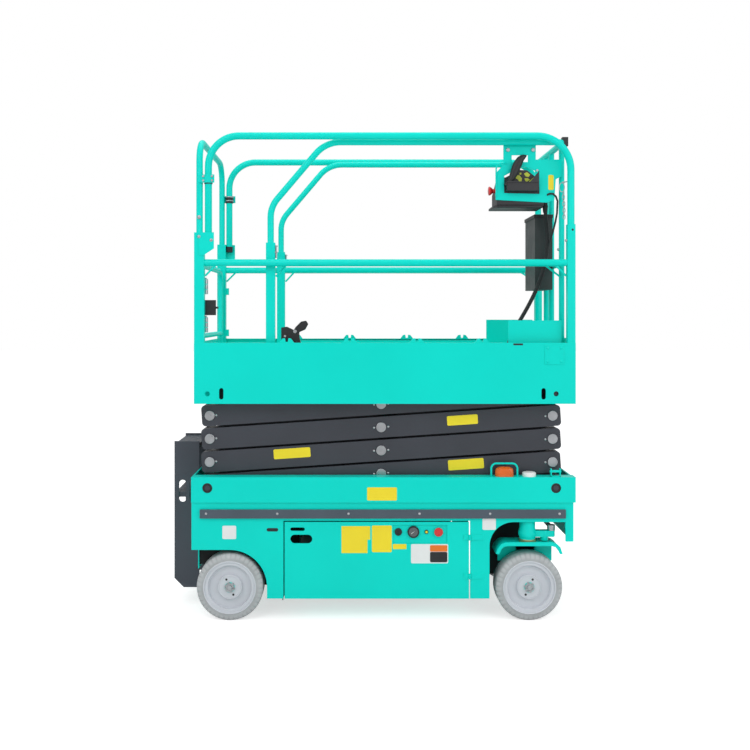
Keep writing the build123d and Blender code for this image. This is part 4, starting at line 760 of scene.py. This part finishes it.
def diamond_plate(name, x, y, z, material, body):
    """Raised bars on a grid, turned one way and the other."""
    shape = Shape(name)
    columns = int((x[1] - x[0]) / DIAMOND_PITCH)
    rows = int((y[1] - y[0]) / DIAMOND_PITCH)
    for column in range(columns):
        for row in range(rows):
            turn = math.radians(45 if (column + row) % 2 else -45)
            along = Vector((math.cos(turn), math.sin(turn), 0))
            across = Vector((-math.sin(turn), math.cos(turn), 0))
            at = Vector((x[0] + (column + 0.5) * DIAMOND_PITCH, y[0] + (row + 0.5) * DIAMOND_PITCH, z))
            rings = []
            for height, share in ((-0.4, 1.0), (DIAMOND_H, 0.55)):
                half_l, half_w = DIAMOND_L / 2 * share, DIAMOND_W / 2 * share
                ends = (along * half_l, across * half_w, -along * half_l, -across * half_w)
                rings.append([at + end + UP * height for end in ends])
            shape.rings(rings)
    shape.done(material, body, 0)


STEP_Z = (310, 545, 780)
for index, step_z in enumerate(STEP_Z, 1):
    diamond_plate(f"step_tread_{index}", (-932, -820), (-142, 142), step_z, LADDER_GREY, "chassis")
diamond_plate("platform_tread_rear", (-752, -488), (-330, 330), 1132, TEAL, "platform")
diamond_plate("platform_tread", (-480, 900), (-305, 305), 1130, TEAL, "platform")
diamond_plate("extension_tread", (-478, 902), (-305, 305), 1141, TEAL, "extension")

# Conduit: a ribbed hose on the part's own route, with a tapered relief at the box end and a fitting at the
# floor
conduit_curve = nurbs_line("conduit_hose", CONDUIT_ROUTE)
route = line_points(conduit_curve)
conduit_curve.bevel_depth = HOSE_D / 2 * MM
conduit_curve.bevel_resolution = 6
conduit_curve.use_fill_caps = True
conduit_curve.materials.append(BLACK)
conduit = bpy.data.objects.new("conduit_hose", conduit_curve)
show(conduit)
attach(conduit, "extension")
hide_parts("conduit")
CONDUIT_RIB_PITCH = 7
RIBS_FROM = 60


def along_route(points, pitch, skip):
    """Places and directions at an even pitch along a line of points, in millimetres."""
    places = []
    travelled, due = 0.0, skip
    for start, end in zip(points, points[1:]):
        run = (end - start) / MM
        while due <= travelled + run.length:
            places.append((start / MM + run.normalized() * (due - travelled), run.normalized()))
            due += pitch
        travelled += run.length
    return places, travelled


places, hose_length = along_route(route, CONDUIT_RIB_PITCH, RIBS_FROM)
ribs = Shape("conduit_ribs")
for place, direction in places:
    ribs.turned(place, direction, ((-2.2, 8.6), (-1.2, 10), (1.2, 10), (2.2, 8.6)), 20)
rib_piece = ribs.done(BLACK, "extension", 0)
relief = Shape("conduit_relief")
relief.turned(route[0] / MM, -UP, ((-4, 13), (4, 13.5), (6, 12.6), (16, 11.6), (30, 10.4)), 28)
RELIEF_LINE = ((806, -222, 1946), (820, -220, 1946), (829, -216, 1942), (835, -212, 1932), (836, -210, 1914))
relief.tube(RELIEF_LINE, 23, 24)
relief_piece = relief.done(BLACK, "extension", 0.4)
flange = Shape("conduit_floor_fitting")
flange.turned(route[-1] / MM, UP, ((-1, 20), (4, 20), (5, 15), (14, 13), (15, 12)), 28)
flange_piece = flange.done(STEEL, "extension", 0.4)

# Control box: joystick grip and boot, marks on the console, stop button, screws and the thin hoop
PLATE_FACE, PLATE_BACK = -299.7, -295.7
PLATE_FACE_T = 4
STICK_Y = -318
PLATE_OUTLINE = (
    (622, 2212), (773, 2212), (773, 2122), (894, 2122), (894, 2045), (866, 2030), (860, 1935),
    (824, 1921), (586, 1934), (586, 2058), (622, 2098),
)
PLATE_WINDOW = ((661, 2109), (661, 2142), (736, 2142), (736, 2109))
CONSOLE_WINDOW = ((626, 1966), (626, 2046), (706, 2088), (738, 2084), (788, 2062), (790, 1962))


def cut_plate(name, outlines, back_y, thickness):
    """A flat upright plate whose later outlines are its windows."""
    curve = bpy.data.curves.new(name, "CURVE")
    curve.dimensions = "2D"
    curve.fill_mode = "BOTH"
    curve.extrude = thickness / 2 * MM
    for outline in outlines:
        spline = curve.splines.new("POLY")
        spline.points.add(len(outline) - 1)
        spline.use_cyclic_u = True
        for point, (x, z) in zip(spline.points, outline):
            point.co = (x * MM, z * MM, 0, 1)
    holder = bpy.data.objects.new(name, curve)
    show(holder)
    bpy.context.view_layer.update()
    flat = bpy.data.meshes.new_from_object(holder)
    bpy.data.objects.remove(holder)
    flat.transform(Matrix.Rotation(math.radians(90), 4, "X"))
    flat.transform(Matrix.Translation((0, (back_y - thickness / 2) * MM, 0)))
    shape = Shape(name)
    shape.mesh.from_mesh(flat)
    bmesh.ops.remove_doubles(shape.mesh, verts=shape.mesh.verts, dist=0.01 * MM)
    return shape


plate = cut_plate("control_plate", (PLATE_OUTLINE, PLATE_WINDOW, CONSOLE_WINDOW), PLATE_BACK, PLATE_FACE_T)
plate.box((622, 773), (-330, PLATE_BACK), (2215.3, 2219))
plate.box((622, 773), (PLATE_FACE, PLATE_BACK), (2199, 2215.5))
plate.done(TEAL, "extension", 0.8, ("control_box",))
console = Shape("console_housing")
CONSOLE_SIDE = ((-295.4, 1912), (-149.7, 1912), (-149.7, 1970), (-295.4, 2040))
CONSOLE_X = (592, 812)
console.rings([[(x, y, z) for y, z in CONSOLE_SIDE] for x in CONSOLE_X])
CONSOLE_FRONT_Y = -330
console.box((633, 782), (CONSOLE_FRONT_Y, -295), (1973, 2012))
console.done(BATTERY, "extension", 1.6, ("operator_controls",))
grip = Shape("joystick_grip")
GRIP_LINE = (
    ((636, 2000), 11), ((646, 2016), 12), ((658, 2034), 15), ((668, 2056), 19), ((677, 2080), 21),
    ((687, 2102), 20), ((699, 2122), 16.5), ((712, 2134), 12.5), ((720, 2138), 8), ((724, 2139), 3),
)
GRIP_TILT = Vector((0.86, 0, -0.5))
GRIP_DEPTH, BOOT_DEPTH = 15, 13
GRIP_SIDES = 28
turns = [math.tau * i / GRIP_SIDES for i in range(GRIP_SIDES)]
grip_rings = []
for (x, z), radius in GRIP_LINE:
    centre = Vector((x, STICK_Y, z))
    depth = min(radius, GRIP_DEPTH)
    grip_rings.append([centre + GRIP_TILT * math.cos(a) * radius + FAR * math.sin(a) * depth for a in turns])
grip.rings(grip_rings).done(BLACK, "extension", 0)
boot = Shape("joystick_boot")
BOOT_STEPS = ((-6, 16), (0, 16), (3, 13), (6, 16), (9, 12), (12, 15), (15, 11), (18, 13), (22, 10))
boot_steps = [(along, min(radius, BOOT_DEPTH)) for along, radius in BOOT_STEPS]
boot.turned((634, STICK_Y, 2002), (0.5, 0, 0.86), boot_steps, GRIP_SIDES)
boot.done(BLACK, "extension", 0)
face = Shape("console_face")
FACE_OUTLINE = ((0, 0), (148, 0), (148, 55), (106, 4), (0, 8))
face.plate(FACE_OUTLINE, (634, CONSOLE_FRONT_Y, 2010), RIGHT, UP, 3)
face.done(BATTERY, "extension", 0.5)
marks = Shape("console_marks")
MARKS = (
    ((34, 42), (44, 50), (58, 48), (69, 34), (66, 18), (57, 17), (50, 30), (42, 34)),
    ((78, 56), (92, 64), (107, 52), (100, 41), (86, 44)), ((80, 34), (96, 36), (106, 28), (92, 18), (84, 23)),
    ((6, 30), (20, 37), (30, 33), (14, 26)), ((58, 60), (66, 62), (66, 53), (58, 51)),
    ((66, 14), (100, 12), (146, 54), (142, 56), (98, 17), (66, 19)),
)
for outline in MARKS:
    marks.plate(outline, (640, -296.4, 2000), RIGHT, UP, PLATE_THICKNESS)
marks.done(LIME, "extension", 0)
backing = Shape("console_backing")
BACKING_OUTLINE = ((0, 0), (140, 0), (140, 40), (100, 72), (66, 74), (0, 40))
backing.plate(BACKING_OUTLINE, (634, -296.2, 2000), RIGHT, UP, -1.5)
backing.done(BATTERY, "extension", 0)
STOP_AT = (592, -262, 1980)
box_stop = Shape("box_stop_cap")
BOX_STOP_STEPS = ((0, 10), (14, 10), (20, 16), (28, 21), (33, 20), (35, 14))
box_stop.turned(STOP_AT, -RIGHT, BOX_STOP_STEPS, 32)
box_stop.done(RED, "extension", 0.5)
bolts = Shape("control_box_screws")
PLATE_SCREWS = ((643, 2166, 19, 6), (760, 2166, 19, 6), (779, 2071, 12, 4))
for x, z, across, height in PLATE_SCREWS:
    bolts.hexagon((x, PLATE_FACE, z), NEAR, across, height)
bolts.done(STEEL, "extension", 0.3)
blank_plate("yellow_plate_control_box", YELLOW, "extension", -PLATE_FACE, (831, 856), (1980, 2050), 0)
HOOP_X, HOOP_Y, HOOP_R, HOOP_D = 588, -302, 28, 7
HOOP_Z = (1948, 2072, 2104)
hoop_bend = arc((HOOP_X + HOOP_R, HOOP_Y, HOOP_Z[2] - HOOP_R), -RIGHT, UP, HOOP_R, 0, 90, 8)
hoop_line = [(HOOP_X, HOOP_Y, HOOP_Z[0]), (HOOP_X, HOOP_Y, HOOP_Z[1]), *hoop_bend, (640, HOOP_Y, HOOP_Z[2])]
Shape("control_box_hoop").tube(hoop_line, HOOP_D).done(TEAL, "extension", 0)
tray = Shape("control_box_tray")
TRAY_Z = (1898, 1908)
tray.box((576, 806), (-294, -150), TRAY_Z)
tray.box(CONSOLE_X, (PLATE_BACK, CONSOLE_SIDE[1][0]), (TRAY_Z[1], CONSOLE_SIDE[0][1]))
tray.rod((600, -296, 1903), (800, -296, 1903), 9)
tray.done(BATTERY, "extension", 0.8)

# Cable from the control plate down to the hose
CABLE_D = 9
CABLE_LINE = (
    (826, -299, 1957), (836, -304, 1962), (852, -303, 1962), (867, -297, 1950),
    (877, -287, 1930), (881, -264, 1906), (884, -246, 1878), (880, -230, 1838),
    (872, -216, 1796), (862, -207, 1758), (850, -199, 1716),
)
Shape("control_cable").tube(CABLE_LINE, CABLE_D, 14).done(BLACK, "extension", 0)

# Document box: the lip round its lid
LIP_Z = (1866, 1883)
lip = Shape("document_box_lip")
for lip_x, lip_y in (((797, 887), (-153, -149)), ((797, 887), (89, 93)), ((796, 800), (-153, 93))):
    lip.box(lip_x, lip_y, LIP_Z)
lip.done(BLACK, "extension", 0.8)

# Guard rails: U-bolts, domed bolts, plugs, studs and pin holes
LEG_X, LEG_Y, LEG_R = -742, 359, 16.5
CLAMP_R = LEG_R + 3.5
CLAMP_Z = (2012, 2032)
CLAMP_END_Y, CLAMP_D = 386, 6
PAD_Z, PLUG_Z = 2008, 1743
PAD_STEPS = ((-9, LEG_R + 0.4), (-9, LEG_R + 2.6), (27, LEG_R + 2.6), (27, 14))
PLUG_STEPS = ((-8, 14), (-6, LEG_R + 1), (22, LEG_R + 1), (22, 14))
DOMES = ((-782, 376, 1845, 18, 7), (-782, 380, 1756, 14, 4), (-726, 380, 1740, 14, 4))
clamps = Shape("rail_u_bolts")
pads = Shape("rail_pads")
plugs = Shape("rail_plugs")
domes = Shape("rail_bolts")
for side, outward in ((-1, NEAR), (1, FAR)):
    for bolt_z in CLAMP_Z:
        loop = arc((LEG_X, side * LEG_Y, bolt_z), -RIGHT, -outward, CLAMP_R, 0, 180, 14)
        legs = [Vector((leg_x, side * CLAMP_END_Y, bolt_z)) for leg_x in (LEG_X - CLAMP_R, LEG_X + CLAMP_R)]
        clamps.tube([legs[0], *loop, legs[1]], CLAMP_D)
        for nut_x in (LEG_X - CLAMP_R, LEG_X + CLAMP_R):
            clamps.hexagon(Vector((nut_x, side * BEAM_FACE_Y, bolt_z)), outward, 12, 4)
    pads.turned((LEG_X, side * LEG_Y, PAD_Z), UP, PAD_STEPS, 28)
    plugs.turned((LEG_X, side * LEG_Y, PLUG_Z), UP, PLUG_STEPS, 28)
    for x, y, z, across, height in DOMES:
        domes.bolt(Vector((x, side * y, z)), outward, across, height)
clamps.done(STEEL, "platform", 0)
pads.done(BLACK, "platform", 0)
plugs.done(BLACK, "platform", 0)
domes.done(STEEL, "platform", 0)
studs = Shape("front_post_studs")
# Pin holes drawn as black discs: painted shade in the holes
holes = Shape("front_post_holes")
post_studs = Shape("extension_post_studs")
for side, outward in ((-1, NEAR), (1, FAR)):
    studs.bolt((903, side * LEG_Y, 1740), -RIGHT, 14, 9)
    holes.turned((926, side * LEG_Y, 1788), outward, ((16.2, 5), (17.4, 5)), 20)
    post_studs.bolt((887.5, side * 270, 1705), -RIGHT, 13, 9)
studs.done(STEEL, "platform", 0)
post_studs.done(STEEL, "extension", 0)
holes.done(BLACK, "platform", 0)

# Entry gate: hinge knuckles, toe plate, spring case and the tabs on the far post
knuckles = Shape("gate_hinge_knuckles")
HINGE_X, HINGE_Y, HINGE_H = -757, -331.7, 69
HINGE_PITCH = 23.5
for hinge_z in (1318, 1494):
    for part in range(3):
        knuckles.turned((HINGE_X, HINGE_Y, hinge_z + 1 + part * HINGE_PITCH), UP, ((0, 9.4), (20, 9.4)), 24)
    knuckles.turned((HINGE_X, HINGE_Y, hinge_z + HINGE_H), UP, ((0, 5), (6, 5), (8, 3)), 16)
knuckles.done(STEEL, "entry_gate", 0.4)
TOE_X, TOE_HALF_W = -783, 312
toe = Shape("gate_toe_plate").box((TOE_X - 2, TOE_X + 2), (-TOE_HALF_W, TOE_HALF_W), (1150, 1275))
toe.rod((TOE_X, -TOE_HALF_W, 1180), (TOE_X, TOE_HALF_W, 1180), 24, 24)
for side in (-1, 1):
    toe.rod((TOE_X, side * TOE_HALF_W, 1166), (TOE_X, side * TOE_HALF_W, 1300), 27.6, 28)
toe.done(TEAL, "entry_gate", 0.6)
SPRING_Y, SPRING_Z = -332, 1432
latch = Shape("gate_spring_case")
latch.box((-762, -712), (SPRING_Y - 10, SPRING_Y + 10), (SPRING_Z - 35, SPRING_Z + 35))
latch.rod((-714, SPRING_Y, SPRING_Z), (-700, SPRING_Y, SPRING_Z), 10).done(BLACK, "platform", 1.5)
tabs = Shape("far_post_tabs")
TAB_H = 36
for tab_z in (1284, 1506):
    tabs.box((-762, -744), (346, 362), (tab_z, tab_z + TAB_H))
tabs.done(TEAL, "platform", 0.8)

# Extension: detent pins at the rear posts, lock bolts, a corner stop and a retaining chain
pins = Shape("extension_detent_pins")
DETENT_X, DETENT_Y = -434, 322
DETENT_Z = (1662, 1716)
for pin_y in (-DETENT_Y, DETENT_Y):
    pins.rod((DETENT_X, pin_y, DETENT_Z[0]), (DETENT_X, pin_y, DETENT_Z[1]), 10)
    pins.bolt((DETENT_X, pin_y, DETENT_Z[1]), UP, 15, 6)
    pins.box((DETENT_X - 6, DETENT_X + 6), (pin_y - 7, pin_y + 7), (1684, 1692))
pins.done(STEEL, "extension", 0.4)
lock_bolts = Shape("deck_lock_bolts")
lock_bolts.hexagon((-346, -335, 1322), NEAR, 18, 5).hexagon((-392, -335, 1300), NEAR, 12, 4)
lock_bolts.done(STEEL, "extension", 0.3)
corner = Shape("corner_stop").box((895, 923), (-306, -280), (2184, 2226))
corner.done(BLACK, "extension", 1.5)
chain = Shape("retaining_chain")
LINKS, LINK_PITCH = 8, 15
LINK_L, LINK_R, LINK_D = 11, 4.8, 2.8
CHAIN_TOP = Vector((890, -344, 1955))
RING_AT = Vector((884, -343, 1986))
RING_R = (12, 21)
loop = arc((0, 0, 0), RIGHT, UP, 1, 0, 345, 22)
ring = [RING_AT + Vector((RING_R[0] * p.x, 0, RING_R[1] * p.z)) for p in loop]
chain.tube(ring, 3.4, 10, closed=True)
chain.rod((884, -346, 2008), (908, -352, 2012), 6, 12)
for link in range(LINKS):
    side_way = RIGHT if link % 2 else FAR
    middle = CHAIN_TOP + RIGHT * min(link, 4) - UP * (link * LINK_PITCH)
    top = arc(middle + UP * (LINK_L / 2), side_way, UP, LINK_R, 0, 180, 6)
    bottom = arc(middle - UP * (LINK_L / 2), side_way, UP, LINK_R, 180, 360, 6)
    chain.tube([*top, *bottom], LINK_D, 8, closed=True)
chain.done(STEEL, "platform", 0)

# Lock lever, posts' braces, kingpin collars, knuckle guards and the lugs on the boards
LOCK_OUTLINE = (
    (-410, 1262), (-410, 1340), (-385, 1344), (-352, 1328), (-344, 1342), (-318, 1368),
    (-296, 1372), (-286, 1356), (-300, 1330), (-328, 1318), (-326, 1290), (-318, 1262),
)
lever = Shape("lock_lever").plate(LOCK_OUTLINE, (0, -295, 0), RIGHT, UP, 40)
lever.done(BLACK, "extension", 3, ("deck_lock",))
braces = Shape("extension_braces")
for side in (-1, 1):
    braces.rod((-436, side * 315, 1576), (-388, side * 315, 1628), 9, 16)
    braces.rod((892, side * 279, 1576), (812, side * 313, 1630), 9, 16)
braces.done(TEAL, "extension", 0)
GUARD_OUTLINE = ((601, 245), (855, 245), (855, 338), (832, 349), (624, 349), (601, 338))
COLLAR_STEPS = ((372, 36.5), (380, 40), (392, 42), (399, 41), (408, 37.5), (414, 36.2))
for hand, side in SIDES:
    collar = Shape(f"kingpin_collar_{hand}")
    collar.turned((KINGPIN_X, side * TRACK_Y, 0), UP, COLLAR_STEPS, 48)
    collar.done(TEAL, f"knuckle_{hand}", 0)
    guard = Shape(f"inner_wheel_guard_{hand}")
    guard.plate(GUARD_OUTLINE, (0, side * 258 + 4, 0), RIGHT, UP, 8)
    guard.done(TEAL, f"knuckle_{hand}", 0.8)
BOARD_TOP = 1271
LUG_X = (-382, -94, 214, 512)
LUG_PAIR = ((-36, -2), (-20, 19), (-8, 21), (-5, 4), (5, 4), (8, 21), (20, 19), (36, -2))
lugs = Shape("board_lugs")
for lug_x in LUG_X:
    outline = [(lug_x + x, BOARD_TOP + z) for x, z in LUG_PAIR]
    for high_y in (-362, 372):
        lugs.plate(outline, (0, high_y, 0), RIGHT, UP, 10)
lugs.done(TEAL, "platform", 0.8)

# Platform boards: a bolted plate and an edge slot
plate = Shape("board_plate")
plate.box((797, 885), (-383, -379.5), (1172, 1260))
plate.done(TEAL, "platform", 0.8)
bolts = Shape("board_bolts")
for bolt_x, bolt_z in ((810, 1185), (810, 1247), (872, 1185), (872, 1247)):
    bolts.bolt((bolt_x, -383, bolt_z), NEAR, 13, 4)
bolts.done(TEAL, "platform", 0)
# The edge slot is drawn as a black strip: painted shade in the slot
slot = Shape("board_slot").box((654, 698), (-380.6, -379), (1260, 1268))
slot.done(BLACK, "platform", 0)

# Trays: lids, caps and terminals on the batteries, a motor, pump and filler on the power unit
BATTERY_PITCH = 193.75
BATTERY_X = [-329 + i * BATTERY_PITCH for i in range(4)]
BATTERY_L = 181.75
LID_TOP = 385
lids = Shape("battery_lids")
caps = Shape("battery_caps")
posts = Shape("battery_posts")
for battery_x in BATTERY_X:
    lids.box((battery_x - 1, battery_x + BATTERY_L + 1), (139, 351), (LID_TOP - 29, LID_TOP))
    for cap_x in (40, 90, 140):
        caps.turned((battery_x + cap_x, 245, LID_TOP), UP, ((-1, 17), (7, 17), (9, 15)), 24)
    for post_x in (30, 152):
        posts.turned((battery_x + post_x, 165, LID_TOP), UP, ((-1, 9), (13, 8), (14, 7)), 20)
lids.done(BATTERY, "door_far", 1.2)
caps.done(YELLOW, "door_far", 0.4)
posts.done(STEEL, "door_far", 0.3)
UNIT_TOP, UNIT_Y = 327, -245
motor = Shape("pump_motor")
MOTOR_STEPS = ((0, 40), (6, 44), (150, 44), (158, 38), (158, 20))
motor.turned((-250, UNIT_Y, UNIT_TOP + 38), RIGHT, MOTOR_STEPS, 40)
motor.box((-240, -100), (UNIT_Y - 30, UNIT_Y + 30), (UNIT_TOP - 1, UNIT_TOP + 6))
motor.done(BATTERY, "door_near", 0.8)
pump = Shape("pump_block")
pump.box((-90, -20), (UNIT_Y - 35, UNIT_Y + 35), (UNIT_TOP - 1, UNIT_TOP + 66))
for fitting_y in (UNIT_Y - 17, UNIT_Y + 17):
    pump.turned((-20, fitting_y, UNIT_TOP + 40), RIGHT, ((-1, 11), (14, 11), (15, 8), (30, 8)), 20)
pump.done(STEEL, "door_near", 0.8)
filler = Shape("tank_filler")
filler.turned((250, UNIT_Y, UNIT_TOP), UP, ((-1, 26), (10, 26), (12, 30), (28, 30), (32, 24)), 36)
filler.done(BLACK, "door_near", 0.6)

# Floor, world and lamps: the white floor and sky show plain to the camera, and light the part more softly
FLOOR_SIZE = 60
FLOOR_SHOWN = 0.6
floor_mesh = bpy.data.meshes.new("floor")
half = FLOOR_SIZE / 2
floor_corners = [(-half, -half, 0), (half, -half, 0), (half, half, 0), (-half, half, 0)]
floor_mesh.from_pydata(floor_corners, [], [(0, 1, 2, 3)])
floor = bpy.data.objects.new("floor", floor_mesh)
show(floor)
FLOOR_GREY = 0.82
floor_material = bpy.data.materials.new("studio_floor")
floor_material.use_nodes = True
tree = floor_material.node_tree
wire = tree.links.new
surface = tree.nodes["Principled BSDF"]
surface.inputs["Base Color"].default_value = (FLOOR_GREY, FLOOR_GREY, FLOOR_GREY, 1)
surface.inputs["Roughness"].default_value = 0.9
surface.inputs["Specular IOR Level"].default_value = 0.0
rays = tree.nodes.new("ShaderNodeLightPath")
glow = tree.nodes.new("ShaderNodeEmission")
share = tree.nodes.new("ShaderNodeMath")
share.operation = "MULTIPLY"
share.inputs[1].default_value = FLOOR_SHOWN
seen = tree.nodes.new("ShaderNodeMath")
seen.operation = "MAXIMUM"
wire(rays.outputs["Is Camera Ray"], seen.inputs[0])
wire(rays.outputs["Is Transmission Ray"], seen.inputs[1])
wire(seen.outputs[0], share.inputs[0])
wire(share.outputs[0], glow.inputs["Strength"])
added = tree.nodes.new("ShaderNodeAddShader")
wire(surface.outputs[0], added.inputs[0])
wire(glow.outputs[0], added.inputs[1])
wire(added.outputs[0], tree.nodes["Material Output"].inputs["Surface"])
floor_mesh.materials.append(floor_material)

WORLD_STRENGTH = 0.62
world = bpy.data.worlds.new("studio")
bpy.context.scene.world = world
world.use_nodes = True
tree = world.node_tree
wire = tree.links.new
light = tree.nodes["Background"]
light.inputs["Color"].default_value = (1, 1, 1, 1)
light.inputs["Strength"].default_value = WORLD_STRENGTH
white = tree.nodes.new("ShaderNodeBackground")
white.inputs["Color"].default_value = (1, 1, 1, 1)
white.inputs["Strength"].default_value = 1.0
rays = tree.nodes.new("ShaderNodeLightPath")
mix = tree.nodes.new("ShaderNodeMixShader")
wire(rays.outputs["Is Camera Ray"], mix.inputs["Fac"])
wire(light.outputs[0], mix.inputs[1])
wire(white.outputs[0], mix.inputs[2])
wire(mix.outputs[0], tree.nodes["World Output"].inputs["Surface"])

AIM_AT = Vector((0, 0, 1.0))
LAMPS = (
    ("key_lamp", (-2600, -4200, 4300), 3000, 70),
    ("fill_lamp", (3200, -3600, 2600), 3200, 45),
    ("top_lamp", (0, 200, 5200), 3600, 60),
)
for lamp_name, place, size, power in LAMPS:
    lamp_data = bpy.data.lights.new(lamp_name, "AREA")
    lamp_data.size = size * MM
    lamp_data.energy = power
    lamp = bpy.data.objects.new(lamp_name, lamp_data)
    lamp.location = Vector(place) * MM
    aim = AIM_AT - lamp.location
    lamp.rotation_euler = aim.to_track_quat("-Z", "Y").to_euler()
    show(lamp)
